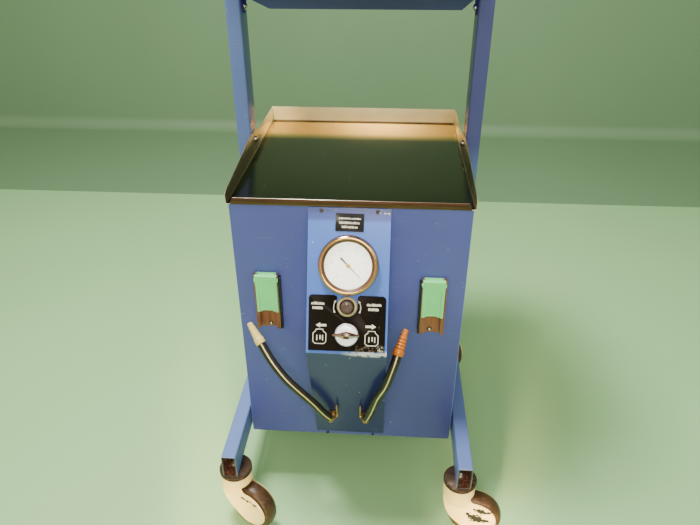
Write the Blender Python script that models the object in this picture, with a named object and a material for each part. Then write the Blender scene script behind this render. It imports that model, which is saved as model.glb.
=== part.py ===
"""Mobile medical suction unit on a four-caster trolley.

Blender 4.5, metres, +Z up. X runs from the unit's left to its right as its user faces it, +Y runs
from the user towards the back. The origin is on the floor, under the middle of the bounding box.
Positions on the cabinet are counted from the cabinet's front plane (FRONT_Y) and from the floor of
the lower tray (TRAY_Z), and positions on the console from the top edge of its sloping face.
"""
import math

import bmesh
import bpy
from mathutils import Matrix, Vector

GAP = 0.0003                     # clearance between touching pieces

# Frame
FRONT_Y = -0.1610                # cabinet's front plane
TRAY_Z = 0.6278                  # upper surface of the lower tray's floor
TUBE_W = 0.026                   # frame tube, across
TUBE_D = 0.050                   # frame tube, deep
TUBE_WALL = 0.0025
TUBE_IN = 0.1982                 # inner faces of rails and uprights, from the middle
RAIL_Z = 0.134                   # underside of the base rails
RAIL_TOP = RAIL_Z + TUBE_D
RAIL_FRONT = FRONT_Y - 0.1226
RAIL_BACK = FRONT_Y + 0.452
UPRIGHT_Y = FRONT_Y + 0.213      # front faces of the uprights
UPRIGHT_TOP = TRAY_Z + 0.360
CAP_PLUG = 0.012

# Casters
STEM_X = 0.208
STEM_FRONT_Y = FRONT_Y - 0.096
STEM_BACK_Y = FRONT_Y + 0.415
WHEEL_R = 0.0495
WHEEL_HALF = 0.015
TRAIL = 0.033
AXLE_R = 0.005
COLLAR_R = 0.030
COLLAR_H = 0.0107
HOOD_HALF = 0.0195
STEM_R = 0.0058
NUT_R = 0.0068
KINGPIN_R = 0.008
# wheel trail directions, degrees from straight ahead (-Y) towards +X
CASTERS = {
    "front_left": (-STEM_X, STEM_FRONT_Y, 62.5),
    "front_right": (STEM_X, STEM_FRONT_Y, 77.5),
    "rear_left": (-STEM_X, STEM_BACK_Y, -77.5),
    "rear_right": (STEM_X, STEM_BACK_Y, 30.0),
}

# Cabinet
CABINET_X = 0.19445
CABINET_Z = TRAY_Z - 0.4977
CABINET_TOP = TRAY_Z - 0.002
CABINET_DEPTH = 0.380
SHEET = 0.0016

# Console
CONSOLE_X = 0.0655
CONSOLE_TOP = 0.003              # below the tray's floor
KNEE_OUT = 0.096
KNEE_DROP = 0.219
CONSOLE_DROP = 0.492
FACE_LEAN = math.atan2(KNEE_OUT, KNEE_DROP)
LOWER_LEAN = math.atan2(KNEE_OUT, CONSOLE_DROP - KNEE_DROP)
GAUGE_S = 0.094                  # distances down the sloping face
REGULATOR_S = 0.1605
SELECTOR_S = 0.2066
PLATE_TOP_S = 0.1425
PLATE_END_S = 0.2341
PLATE_HALF = 0.062
PLATE_T = 0.0015
BEZEL_R = 0.0485
DIAL_R = 0.0415
RING_R = 0.0173
DISC_R = 0.019
SHAFT_R = 0.003
SELECTOR_SHAFT_R = 0.004

# Outlets, hoses
OUTLET_X = 0.030
OUTLET_DROP = 0.4146
TAP_X = 0.0217
TAP_RISE = 0.006
HOSE_R = 0.0082
# Hose routes: X, out from the cabinet front, below the tray's floor
HOSE_LEFT = [(-0.0365, -0.0440, -0.4110), (-0.0455, -0.0540, -0.3910), (-0.0615, -0.0670, -0.3560),
             (-0.0822, -0.0740, -0.3250), (-0.1042, -0.0730, -0.3000), (-0.1255, -0.0630, -0.2775),
             (-0.1423, -0.0500, -0.2590), (-0.1511, -0.0420, -0.2480)]
HOSE_RIGHT = [(0.0330, -0.0440, -0.4090), (0.0400, -0.0570, -0.3810), (0.0517, -0.0740, -0.3320),
              (0.0648, -0.0840, -0.2960), (0.0740, -0.0845, -0.2665), (0.0818, -0.0770, -0.2465),
              (0.0855, -0.0710, -0.2395)]
HOSE_POINTS = 12
CONNECTOR_LENGTH = {"left": 0.042, "right": 0.046}

# Jar brackets
BRACKET_X = 0.142
BRACKET_HALF = 0.021
BRACKET_TOP = TRAY_Z - 0.128
BRACKET_END = TRAY_Z - 0.238
BRACKET_DEEP = 0.009
BRACKET_LIP = 0.0065
BRACKET_T = 0.0015
CLIP_HALF = 0.020
CLIP_TOP = TRAY_Z - 0.122
CLIP_END = TRAY_Z - 0.199

# Trays
TRAY_HALF = 0.1977
TRAY_T = 0.0012
TRAY_FRONT = -0.0045             # from the cabinet's front plane
TRAY_BACK = 0.4296
TRAY_WALL_BACK = 0.0316
LIP_H = 0.0112
BOLT_Y = 0.238
BOLT_Z = 0.024
BOLT_R = 0.003
SHELF_TILT = math.radians(12.8)
SHELF_PIVOT_Z = 0.260            # above the lower tray's floor
SHELF_RISE = 0.0149              # shelf floor above its pivot
SHELF_BACK = 0.2284              # shelf's back edge from its pivot

COLOURS = {                      # base colour, roughness, metallic
    "blue_paint": ((0.13, 0.18, 0.42), 0.35, 0.0),
    "console_paint": ((0.20, 0.30, 0.52), 0.35, 0.0),
    "stainless": ((0.50, 0.46, 0.38), 0.25, 1.0),
    "steel": ((0.55, 0.54, 0.52), 0.35, 1.0),
    "brass": ((0.60, 0.45, 0.20), 0.30, 1.0),
    "black_plate": ((0.015, 0.014, 0.013), 0.40, 0.0),
    "dial_white": ((0.85, 0.83, 0.74), 0.60, 0.0),
    "needle_black": ((0.02, 0.02, 0.02), 0.50, 0.0),
    "clear_glass": ((0.95, 0.97, 0.97), 0.05, 0.0),
    "cream_plastic": ((0.75, 0.66, 0.42), 0.40, 0.0),
    "brown_plastic": ((0.10, 0.06, 0.04), 0.55, 0.0),
    "chrome": ((0.70, 0.70, 0.70), 0.12, 1.0),
    "green_plastic": ((0.28, 0.70, 0.36), 0.45, 0.0),
    "hose_rubber": ((0.012, 0.011, 0.010), 0.55, 0.0),
    "orange_plastic": ((0.90, 0.30, 0.04), 0.45, 0.0),
    "clear_cream": ((0.78, 0.68, 0.48), 0.40, 0.0),
    "caster_paint": ((0.85, 0.72, 0.42), 0.40, 0.0),
    "tyre_rubber": ((0.08, 0.045, 0.03), 0.60, 0.0),
    "collar_brown": ((0.06, 0.04, 0.03), 0.60, 0.2),
    "cast_grey": ((0.25, 0.26, 0.27), 0.60, 0.6),
    "black_plastic": ((0.02, 0.02, 0.02), 0.45, 0.0),
}


def clear_scene():
    for item in list(bpy.data.objects):
        bpy.data.objects.remove(item, do_unlink=True)


def material(name):
    made = bpy.data.materials.get(name)
    if made is None:
        colour, roughness, metallic = COLOURS[name]
        made = bpy.data.materials.new(name)
        made.use_nodes = True
        shader = made.node_tree.nodes["Principled BSDF"]
        shader.inputs["Base Color"].default_value = (*colour, 1.0)
        shader.inputs["Roughness"].default_value = roughness
        shader.inputs["Metallic"].default_value = metallic
        made.diffuse_color = (*colour, 1.0)
    return made


def add_object(name, bm, paint, place=Matrix(), smooth=False):
    """Turn a bmesh into a named object at a placement, faces pointing out."""
    bmesh.ops.recalc_face_normals(bm, faces=bm.faces)
    mesh = bpy.data.meshes.new(name)
    bm.to_mesh(mesh)
    bm.free()
    made = bpy.data.objects.new(name, mesh)
    bpy.context.scene.collection.objects.link(made)
    made.matrix_world = place
    if paint:
        mesh.materials.append(material(paint))
    if smooth:
        mesh.shade_smooth()
        mesh.set_sharp_from_angle(angle=math.radians(35))
    return made


def block(name, low, high, paint=None, place=Matrix()):
    bm = bmesh.new()
    bmesh.ops.create_cube(bm, size=1.0)
    low, high = Vector(low), Vector(high)
    size = high - low
    bmesh.ops.scale(bm, vec=size, verts=bm.verts)
    bmesh.ops.translate(bm, vec=(low + high) / 2, verts=bm.verts)
    return add_object(name, bm, paint, place)


def prism(name, outline, low, high, axis, paint=None, place=Matrix()):
    """Outline in the plane across axis (X: y,z; Y: x,z; Z: x,y), extruded from low to high."""
    def corner(point, along):
        u, v = point
        return {"X": (along, u, v), "Y": (u, along, v), "Z": (u, v, along)}[axis]
    bm = bmesh.new()
    bottom = [bm.verts.new(corner(point, low)) for point in outline]
    top = [bm.verts.new(corner(point, high)) for point in outline]
    bm.faces.new(bottom)
    bm.faces.new(top)
    count = len(outline)
    for i in range(count):
        j = (i + 1) % count
        bm.faces.new((bottom[i], bottom[j], top[j], top[i]))
    return add_object(name, bm, paint, place)


def turned(name, profile, paint=None, place=Matrix(), segments=32):
    """Turn a (radius, height) profile about local Z. Ends on the axis close the solid, and a profile
    with no point on the axis is a closed ring."""
    bm = bmesh.new()
    rings = []
    for radius, height in profile:
        if radius == 0:
            rings.append([bm.verts.new((0, 0, height))])
        else:
            turns = [math.tau * i / segments for i in range(segments)]
            rings.append([bm.verts.new((radius * math.cos(a), radius * math.sin(a), height))
                          for a in turns])
    pairs = list(zip(rings, rings[1:]))
    if profile[0][0] and profile[-1][0]:
        pairs.append((rings[-1], rings[0]))
    for first, second in pairs:
        for i in range(segments):
            j = (i + 1) % segments
            corners = [first[i % len(first)], first[j % len(first)],
                       second[j % len(second)], second[i % len(second)]]
            bm.faces.new(list(dict.fromkeys(corners)))
    return add_object(name, bm, paint, place, smooth=True)


def rod(name, start, end, radius, paint=None, segments=20, end_radius=None):
    """Round rod between two points."""
    start, end = Vector(start), Vector(end)
    along = end - start
    place = Matrix.Translation(start) @ along.to_track_quat("Z", "Y").to_matrix().to_4x4()
    far = radius if end_radius is None else end_radius
    profile = [(0, 0), (radius, 0), (far, along.length), (0, along.length)]
    return turned(name, profile, paint, place, segments)


def boolean(target, other, operation):
    other.hide_render = True
    other.display_type = "WIRE"
    step = target.modifiers.new(operation.lower(), "BOOLEAN")
    step.operation = operation
    step.solver = "EXACT"
    step.object = other
    return target


def cut(target, *cutters):
    for cutter in cutters:
        boolean(target, cutter, "DIFFERENCE")
    return target


def fuse(target, *others):
    for other in others:
        boolean(target, other, "UNION")
    return target


def arc(centre, radius, start, end, steps):
    """Points on an arc, angles in degrees."""
    points = []
    for i in range(steps + 1):
        a = math.radians(start + (end - start) * i / steps)
        points.append((centre[0] + radius * math.cos(a), centre[1] + radius * math.sin(a)))
    return points


def on_face(distance_down, x=0.0):
    """Placement on the console's sloping face: local X right, Y up the face, Z out of it."""
    top = Matrix.Translation((x, FRONT_Y, TRAY_Z))
    lean = Matrix.Rotation(math.pi / 2 - FACE_LEAN, 4, "X")
    return top @ lean @ Matrix.Translation((0, -distance_down, 0))


def on_lower_face(x, drop):
    """Placement on the console's lower face, at a drop below the tray's floor."""
    out = KNEE_OUT * (CONSOLE_DROP - drop) / (CONSOLE_DROP - KNEE_DROP)
    place = Matrix.Translation((x, FRONT_Y - out, TRAY_Z - drop))
    return place @ Matrix.Rotation(math.pi / 2 + LOWER_LEAN, 4, "X")


def side_pairs():
    return (("left", -1), ("right", 1))


# ---------------------------------------------------------------- frame

def box_tube(name, low, high, axis):
    """Rectangular tube, open at both ends."""
    low, high = Vector(low), Vector(high)
    tube = block(name, low, high, "blue_paint")
    inner_low, inner_high = low.copy(), high.copy()
    for i in range(3):
        grow = 0.01 if i == "XYZ".index(axis) else -TUBE_WALL
        inner_low[i] -= grow
        inner_high[i] += grow
    return cut(tube, block(name + "_bore", inner_low, inner_high))


def make_frame():
    for side, sign in side_pairs():
        inner, outer = sorted((sign * TUBE_IN, sign * (TUBE_IN + TUBE_W)))
        rail = box_tube("base_rail_" + side, (inner, RAIL_FRONT, RAIL_Z), (outer, RAIL_BACK, RAIL_TOP), "Y")
        for stem_y in (STEM_FRONT_Y, STEM_BACK_Y):
            centre = (sign * STEM_X, stem_y)
            cut(rail, rod(f"cut_stem_{side}_{stem_y:.2f}", (*centre, RAIL_Z - 0.005),
                          (*centre, RAIL_Z + 0.008), STEM_R + GAP, segments=16))
        upright = box_tube("upright_" + side, (inner, UPRIGHT_Y, RAIL_TOP + GAP),
                           (outer, UPRIGHT_Y + TUBE_D, UPRIGHT_TOP), "Z")
        for bolt_z in (TRAY_Z + BOLT_Z, TRAY_Z + SHELF_PIVOT_Z):
            inside = sign * (TUBE_IN + TUBE_WALL + 0.004)
            outside = sign * (TUBE_IN - 0.004)
            cut(upright, rod(f"cut_bolt_{side}_{bolt_z:.2f}", (outside, FRONT_Y + BOLT_Y, bolt_z),
                             (inside, FRONT_Y + BOLT_Y, bolt_z), BOLT_R + GAP, segments=12))
        cap = block("upright_cap_" + side, (inner, UPRIGHT_Y, UPRIGHT_TOP + GAP),
                    (outer, UPRIGHT_Y + TUBE_D, UPRIGHT_TOP + 0.004), "black_plastic")
        shrink = TUBE_WALL + GAP
        fuse(cap, block(f"join_cap_{side}", (inner + shrink, UPRIGHT_Y + shrink, UPRIGHT_TOP - CAP_PLUG),
                        (outer - shrink, UPRIGHT_Y + TUBE_D - shrink, UPRIGHT_TOP + 0.001)))
    box_tube("rear_cross_tube", (-TUBE_IN + GAP, FRONT_Y + 0.402, RAIL_Z),
             (TUBE_IN - GAP, FRONT_Y + 0.428, RAIL_TOP), "X")


# ---------------------------------------------------------------- casters

def hood_outline():
    """Side view of a hood: along the trail, height. Round cheek, straight back, open towards the tyre."""
    cheek = arc((0.036, 0.056), 0.042, 95, -112, 14)
    back = [(-0.002, 0.0285), (-0.0140, 0.0420), (-0.0215, 0.0570), (-0.0255, 0.0750), (-0.0275, 0.0960)]
    return cheek + back + [(0.0, 0.1000), (0.020, 0.1020)]


def make_caster(corner, x, y, trail_degrees):
    top = RAIL_Z - GAP
    collar_low = top - COLLAR_H
    nut_low = RAIL_Z + TUBE_WALL + GAP
    upright_pin = [(0, collar_low - 0.013), (KINGPIN_R, collar_low - 0.013), (KINGPIN_R, collar_low),
                   (COLLAR_R, collar_low), (COLLAR_R, top), (STEM_R, top), (STEM_R, nut_low),
                   (NUT_R, nut_low), (NUT_R, RAIL_Z + 0.010), (0, RAIL_Z + 0.010)]
    turned("caster_collar_" + corner, upright_pin, "collar_brown", Matrix.Translation((x, y, 0)), 24)

    # local X runs along the trail, local Y along the axle
    swivel = (Matrix.Translation((x, y, 0))
              @ Matrix.Rotation(math.radians(trail_degrees - 90), 4, "Z"))
    hood_top = collar_low - GAP
    axle = (TRAIL, 0, WHEEL_R)
    hood = prism("caster_hood_" + corner, hood_outline(), -HOOD_HALF, HOOD_HALF, "Y", "caster_paint", swivel)
    neck = [(0, 0.084), (0.0265, 0.084), (0.0290, 0.092), (0.0290, hood_top), (0, hood_top)]
    fuse(hood, turned(f"join_neck_{corner}", neck, None, swivel, 24))
    across = Matrix.Rotation(math.pi / 2, 4, "X")
    at_axle = swivel @ Matrix.Translation(axle) @ across
    room_r, room_half = WHEEL_R + 0.0022, WHEEL_HALF + 0.0014
    slot = [(0, -room_half), (room_r, -room_half), (room_r, room_half), (0, room_half)]
    socket_r, socket_low = KINGPIN_R + GAP, hood_top - 0.0140
    socket = [(0, socket_low), (socket_r, socket_low), (socket_r, hood_top + 0.004), (0, hood_top + 0.004)]
    cut(hood, turned(f"cut_slot_{corner}", slot, None, at_axle, 40),
        turned(f"cut_socket_{corner}", socket, None, swivel, 24))
    pin_half = HOOD_HALF - 0.001
    pin = [(0, -pin_half), (AXLE_R, -pin_half), (AXLE_R, pin_half), (0, pin_half)]
    fuse(hood, turned(f"join_axle_{corner}", pin, None, at_axle, 16))

    bore, half = AXLE_R + GAP, WHEEL_HALF
    tyre = [(bore, -half), (WHEEL_R - 0.005, -half), (WHEEL_R - 0.0015, 0.0035 - half), (WHEEL_R, 0.008 - half)]
    tyre += [(r, -z) for r, z in reversed(tyre)]
    turned("caster_wheel_" + corner, tyre, "tyre_rubber", at_axle, 32)


# ---------------------------------------------------------------- cabinet and console

def make_cabinet():
    low = Vector((-CABINET_X, FRONT_Y, CABINET_Z))
    high = Vector((CABINET_X, FRONT_Y + CABINET_DEPTH, CABINET_TOP))
    shell = block("cabinet_shell", low, high, "blue_paint")
    inner_low = low + Vector((SHEET, SHEET, SHEET))
    inner_high = high - Vector((SHEET, -0.01, SHEET))
    behind_console = block("cut_behind_console", (-0.055, FRONT_Y - 0.01, TRAY_Z - 0.470),
                           (0.055, FRONT_Y + 0.01, TRAY_Z - 0.030))
    cut(shell, block("cut_inside", inner_low, inner_high), behind_console)

    panel_y = FRONT_Y + CABINET_DEPTH + GAP
    panel = block("back_panel", (-CABINET_X, panel_y, CABINET_Z),
                  (CABINET_X, panel_y + SHEET, CABINET_TOP), "blue_paint")
    for column in (-0.085, 0.085):
        for row in range(7):
            z = CABINET_Z + 0.250 + row * 0.026
            cut(panel, block(f"cut_louvre_{column}_{row}", (column - 0.045, panel_y - 0.01, z),
                             (column + 0.045, panel_y + 0.01, z + 0.007)))
    cut(panel, block("cut_inlet", (0.0735, panel_y - 0.01, CABINET_Z + 0.0535),
                     (0.1065, panel_y + 0.01, CABINET_Z + 0.0785)),
        block("cut_switch", (0.1255, panel_y - 0.01, CABINET_Z + 0.0535),
              (0.1445, panel_y + 0.01, CABINET_Z + 0.0785)))


def console_outline(inset):
    """Side view of the console, y and z, moved in by the sheet thickness where inset is set."""
    knee_y, knee_z = FRONT_Y - KNEE_OUT, TRAY_Z - KNEE_DROP
    if not inset:
        top_z = TRAY_Z - CONSOLE_TOP
        top_y = FRONT_Y - CONSOLE_TOP * math.tan(FACE_LEAN)
        return [(FRONT_Y - GAP, top_z), (top_y, top_z), (knee_y, knee_z),
                (FRONT_Y - GAP, TRAY_Z - CONSOLE_DROP + 0.001)]
    knee_y += SHEET / math.cos(FACE_LEAN)
    back = FRONT_Y + 0.01
    start_z = TRAY_Z - CONSOLE_TOP - 0.006
    start_y = knee_y + (start_z - knee_z) * math.tan(FACE_LEAN)
    return [(back, start_z), (start_y, start_z), (knee_y, knee_z),
            (back, knee_z - (back - knee_y) / math.tan(LOWER_LEAN))]


def make_console():
    housing = prism("console_housing", console_outline(False), -CONSOLE_X, CONSOLE_X, "X", "console_paint")
    hollow = prism("cut_console_inside", console_outline(True), -CONSOLE_X + SHEET, CONSOLE_X - SHEET, "X")
    cut(housing, hollow)
    holes = [("gauge", on_face(GAUGE_S), 0.0426, 36), ("regulator", on_face(REGULATOR_S), 0.0045, 16),
             ("selector", on_face(SELECTOR_S), 0.0050, 16)]
    for side, sign in side_pairs():
        holes.append(("outlet_" + side, on_lower_face(sign * OUTLET_X, OUTLET_DROP), 0.0048, 16))
    for name, place, radius, segments in holes:
        hole = [(0, -0.012), (radius, -0.012), (radius, 0.012), (0, 0.012)]
        cut(housing, turned("cut_hole_" + name, hole, None, place, segments))

    make_control_plate()
    make_gauge()
    make_regulator()
    make_selector()


def make_control_plate():
    """Black plate with rounded upper corners and a U-shaped notch around the regulator."""
    top = (PLATE_END_S - PLATE_TOP_S) / 2
    middle = (PLATE_END_S + PLATE_TOP_S) / 2
    ring = middle - REGULATOR_S
    notch = RING_R + 0.0006
    notch_top = notch - 0.0004
    corner, inner = 0.006, 0.005
    outline = [(-PLATE_HALF, -top), (PLATE_HALF, -top)]
    outline += arc((PLATE_HALF - corner, top - corner), corner, 0, 90, 4)
    outline += arc((notch_top + inner, top - inner), inner, 90, 180, 4)
    outline += [(notch_top, ring + 0.004)]
    outline += arc((0, ring), notch, -5, -175, 10)
    outline += [(-notch_top, ring + 0.004)]
    outline += arc((-notch_top - inner, top - inner), inner, 0, 90, 4)
    outline += arc((-PLATE_HALF + corner, top - corner), corner, 90, 180, 4)
    plate = prism("control_plate", outline, GAP, GAP + PLATE_T, "Z", "black_plate", on_face(middle))
    hole = [(0, -0.01), (0.0050, -0.01), (0.0050, 0.01), (0, 0.01)]
    cut(plate, turned("cut_plate_hole", hole, None, on_face(SELECTOR_S), 16))


def make_gauge():
    place = on_face(GAUGE_S)
    lip_r = 0.0395
    pocket_r = DIAL_R + GAP
    case = [(0, -0.042), (0.006, -0.042), (0.006, -0.030), (0.0422, -0.030), (0.0422, GAP), (BEZEL_R, GAP),
            (BEZEL_R, 0.0080), (BEZEL_R - 0.004, 0.011), (lip_r, 0.011), (lip_r, 0.0095), (pocket_r, 0.0095),
            (pocket_r, 0.0022), (0, 0.0022)]
    turned("gauge_case", case, "chrome", place, 36)
    turned("gauge_dial", [(0.0016, 0.0025), (DIAL_R, 0.0025), (DIAL_R, 0.0033), (0.0016, 0.0033)],
           "dial_white", place, 32)
    turned("gauge_glass", [(0, 0.0078), (DIAL_R, 0.0078), (DIAL_R, 0.0092), (0, 0.0092)],
           "clear_glass", place, 32)
    # the pointer lies at the right-hand end of its scale when there is no vacuum
    at_zero = place @ Matrix.Rotation(math.radians(-45), 4, "Z")
    hub_r = 0.004
    blade = [(0.0290, 0.0)] + arc((0, 0), hub_r, 18, 162, 8)
    blade += [(-0.0180, 0.0013), (-0.0180, -0.0013)] + arc((0, 0), hub_r, 198, 342, 8)
    needle = prism("gauge_needle", blade, 0.0045, 0.0055, "Z", "needle_black", at_zero)
    spindle = [(0, 0.0026), (0.0012, 0.0026), (0.0012, 0.0050), (0, 0.0050)]
    fuse(needle, turned("join_spindle", spindle, None, at_zero, 12))


def make_regulator():
    place = on_face(REGULATOR_S)
    inner = 0.0108
    ring = [(inner, GAP), (RING_R, GAP), (RING_R, 0.0035), (RING_R - 0.0025, 0.0060), (inner, 0.0060)]
    turned("regulator_ring", ring, "cream_plastic", place, 28)
    body = [(0, -0.040), (0.015, -0.040), (0.015, -0.0022), (SHAFT_R + GAP, -0.0022),
            (SHAFT_R + GAP, -0.018), (0, -0.018)]
    turned("regulator_valve", body, "brass", place, 20)
    knob = [(0, -0.0175), (SHAFT_R, -0.0175), (SHAFT_R, 0.0010), (0.0098, 0.0010), (0.0102, 0.0135),
            (0, 0.0155)]
    turned("regulator_knob", knob, "brown_plastic", place, 24)


def make_selector():
    place = on_face(SELECTOR_S)
    seat = GAP + PLATE_T + GAP
    bore = SELECTOR_SHAFT_R + GAP
    top = seat + 0.0034
    disc = [(bore, seat), (DISC_R, seat), (DISC_R, seat + 0.0012), (0.010, top), (bore, top)]
    turned("selector_disc", disc, "chrome", place, 28)
    valve = block("selector_valve", (-0.028, -0.016, -0.034), (0.028, 0.016, -0.0022), "brass", place)
    hole = [(0, -0.018), (bore, -0.018), (bore, 0.01), (0, 0.01)]
    cut(valve, turned("cut_selector_valve", hole, None, place, 16))
    # the pointer end is towards -X at rest
    low = seat + 0.0040
    outline = [(-0.0235, 0.0009), (-0.0100, 0.0042), (0.0, 0.0062), (0.0110, 0.0042), (0.0215, 0.0016),
               (0.0215, -0.0016), (0.0110, -0.0042), (0.0, -0.0062), (-0.0100, -0.0042), (-0.0235, -0.0009)]
    lever = prism("selector_lever", outline, low, low + 0.009, "Z", "chrome", place)
    shaft = [(0, -0.017), (SELECTOR_SHAFT_R, -0.017), (SELECTOR_SHAFT_R, low + 0.002), (0, low + 0.002)]
    fuse(lever, turned("join_selector_shaft", shaft, None, place, 16))


# ---------------------------------------------------------------- brackets

def make_bracket(side, sign):
    """Channel with inward lips on the cabinet, and the clip whose tongue slides in it."""
    x = sign * BRACKET_X
    back = FRONT_Y - GAP
    front = back - BRACKET_DEEP
    half, lip, t = BRACKET_HALF, BRACKET_LIP, BRACKET_T
    outline = [(x - half, back), (x + half, back), (x + half, front), (x + half - lip, front),
               (x + half - lip, front + t), (x + half - t, front + t), (x + half - t, back - t),
               (x - half + t, back - t), (x - half + t, front + t), (x - half + lip, front + t),
               (x - half + lip, front), (x - half, front)]
    prism("bracket_plate_" + side, outline, BRACKET_END, BRACKET_TOP, "Z", "stainless")

    place = Matrix.Translation((x, front - GAP, CLIP_END))
    high = CLIP_TOP - CLIP_END
    thick, rail, rail_out = 0.0030, 0.0060, 0.0055
    # section across the clip: raised side rails, neck between the lips, tongue behind them
    gap = half - lip - GAP * 2
    tongue = gap + 0.004
    tongue_low, tongue_high = 0.0020 + t, 0.0058 + t
    half_section = [(gap, 0.0), (CLIP_HALF, 0.0), (CLIP_HALF, -rail_out), (CLIP_HALF - rail, -rail_out),
                    (CLIP_HALF - rail, -thick)]
    section = [(tongue, tongue_high), (tongue, tongue_low), (gap, tongue_low)] + half_section
    section += [(-across, out) for across, out in reversed(section)]
    clip = prism("jar_clip_" + side, section, 0.0, high, "Z", "green_plastic", place)
    fuse(clip, block(f"join_flange_{side}", (-CLIP_HALF, -0.0085, high - 0.0045), (CLIP_HALF, -0.0010, high),
                     None, place),
         block(f"join_pegs_{side}", (-CLIP_HALF - 0.0022, -0.0045, high - 0.0165),
               (CLIP_HALF + 0.0022, -0.0012, high - 0.0125), None, place))
    cut(clip, block(f"cut_notch_{side}", (-0.011, -0.02, -0.01), (0.009, 0.02, 0.0035), None, place))


# ---------------------------------------------------------------- outlets and hoses

def from_cabinet(point):
    """World position of a point given from the cabinet front and the tray's floor."""
    return Vector((point[0], FRONT_Y + point[1], TRAY_Z + point[2]))


def smooth_route(points, count):
    """Points evenly spaced along a Catmull-Rom curve through the route's own points."""
    points = [Vector(point) for point in points]
    ends = [points[0] * 2 - points[1]] + points + [points[-1] * 2 - points[-2]]
    fine = []
    for a, b, c, d in zip(ends, ends[1:], ends[2:], ends[3:]):
        for i in range(12):
            t = i / 12
            fine.append(0.5 * (2 * b + (c - a) * t + (2 * a - 5 * b + 4 * c - d) * t * t
                               + (3 * b - a - 3 * c + d) * t ** 3))
    fine.append(points[-1])
    lengths = [0.0]
    for first, second in zip(fine, fine[1:]):
        lengths.append(lengths[-1] + (second - first).length)
    spaced = []
    for i in range(count):
        want = lengths[-1] * i / (count - 1)
        k = max(j for j in range(len(fine)) if lengths[j] <= want + 1e-9)
        if k == len(fine) - 1:
            spaced.append(fine[-1])
        else:
            part = (want - lengths[k]) / (lengths[k + 1] - lengths[k])
            spaced.append(fine[k].lerp(fine[k + 1], part))
    return spaced


def hose(name, route):
    curve = bpy.data.curves.new(name, "CURVE")
    curve.dimensions = "3D"
    curve.bevel_depth = HOSE_R
    curve.bevel_resolution = 3
    curve.use_fill_caps = True
    spline = curve.splines.new("POLY")
    points = smooth_route(route, HOSE_POINTS)
    spline.points.add(len(points) - 1)
    for slot, point in zip(spline.points, points):
        slot.co = (*point, 1.0)
    made = bpy.data.objects.new(name, curve)
    bpy.context.scene.collection.objects.link(made)
    curve.materials.append(material("hose_rubber"))
    return points[-1], (points[-1] - points[-2]).normalized()


def make_outlet(side, sign, route):
    route = [from_cabinet(point) for point in route]
    start, leave = route[0], (route[1] - route[0]).normalized()
    place = on_lower_face(sign * OUTLET_X, OUTLET_DROP)
    body = [(0, -0.012), (0.0045, -0.012), (0.0045, GAP), (0.0085, GAP), (0.0085, 0.0035), (0.0055, 0.0035),
            (0.0055, 0.0140), (0, 0.0140)]
    fitting = turned("outlet_fitting_" + side, body, "brass", place, 16)
    centre = place @ Vector((0, 0, 0.0085))
    bend = start - leave * 0.008
    fuse(fitting, rod(f"join_tail_{side}", centre, bend, 0.0045, segments=12),
         rod(f"join_ferrule_{side}", bend - leave * 0.001, start - leave * GAP, 0.0070, segments=16))

    # the lever turns about a pin along X and stands parallel to the console's lower face
    lever_place = place @ Matrix.Translation((sign * (TAP_X - OUTLET_X), TAP_RISE, 0.0085))
    across = lever_place @ Matrix.Rotation(math.pi / 2, 4, "Y")
    half = 0.0020
    lever = turned("tap_lever_" + side, [(0, -half), (0.0042, -half), (0.0042, half), (0, half)],
                   "brass", across, 16)
    upward = lever_place @ Matrix.Rotation(-math.pi / 2, 4, "X")
    spike = [(0, 0), (0.0020, 0), (0.0022, 0.012), (0.0011, 0.0395), (0, 0.0400)]
    fuse(lever, turned(f"join_spike_{side}", spike, None, upward, 12))

    end, along = hose("hose_" + side, route)
    make_connector(side, end, along)


def make_connector(side, end, along):
    """Tapered hose connector, in line with the hose's end, with a fine bore from its tip."""
    length = CONNECTOR_LENGTH[side]
    place = (Matrix.Translation(end + along * GAP * 2)
             @ along.to_track_quat("Z", "Y").to_matrix().to_4x4())
    bore, floor = 0.0019, 0.010
    if side == "left":
        outside = [(0.0088, 0.0), (0.0090, 0.010), (0.0080, 0.012), (0.0062, 0.026), (0.0045, length)]
    else:
        outside = [(0.0094, 0.0), (0.0096, 0.010), (0.0080, 0.0115), (0.0086, 0.0145), (0.0072, 0.0300),
                   (0.0060, 0.0325), (0.0044, length)]
    profile = [(0, 0.0)] + outside + [(bore, length), (bore, floor), (0, floor)]
    paint = "clear_cream" if side == "left" else "orange_plastic"
    turned("hose_connector_" + side, profile, paint, place, 20)


# ---------------------------------------------------------------- trays

def side_wall_outline(front, back, base):
    """Side view of a tray's side wall: low at the front, highest where it meets the upright."""
    heights = [(0.0, 0.017), (0.010, 0.0205), (0.0875, 0.0290), (0.1695, 0.0385), (0.2050, 0.0415),
               (0.2480, 0.0400), (0.2840, 0.0310)]
    top = [(front + along, base + up) for along, up in heights]
    return top + [(back, base + TRAY_WALL_BACK), (back, base - TRAY_T), (front, base - TRAY_T)]


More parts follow.
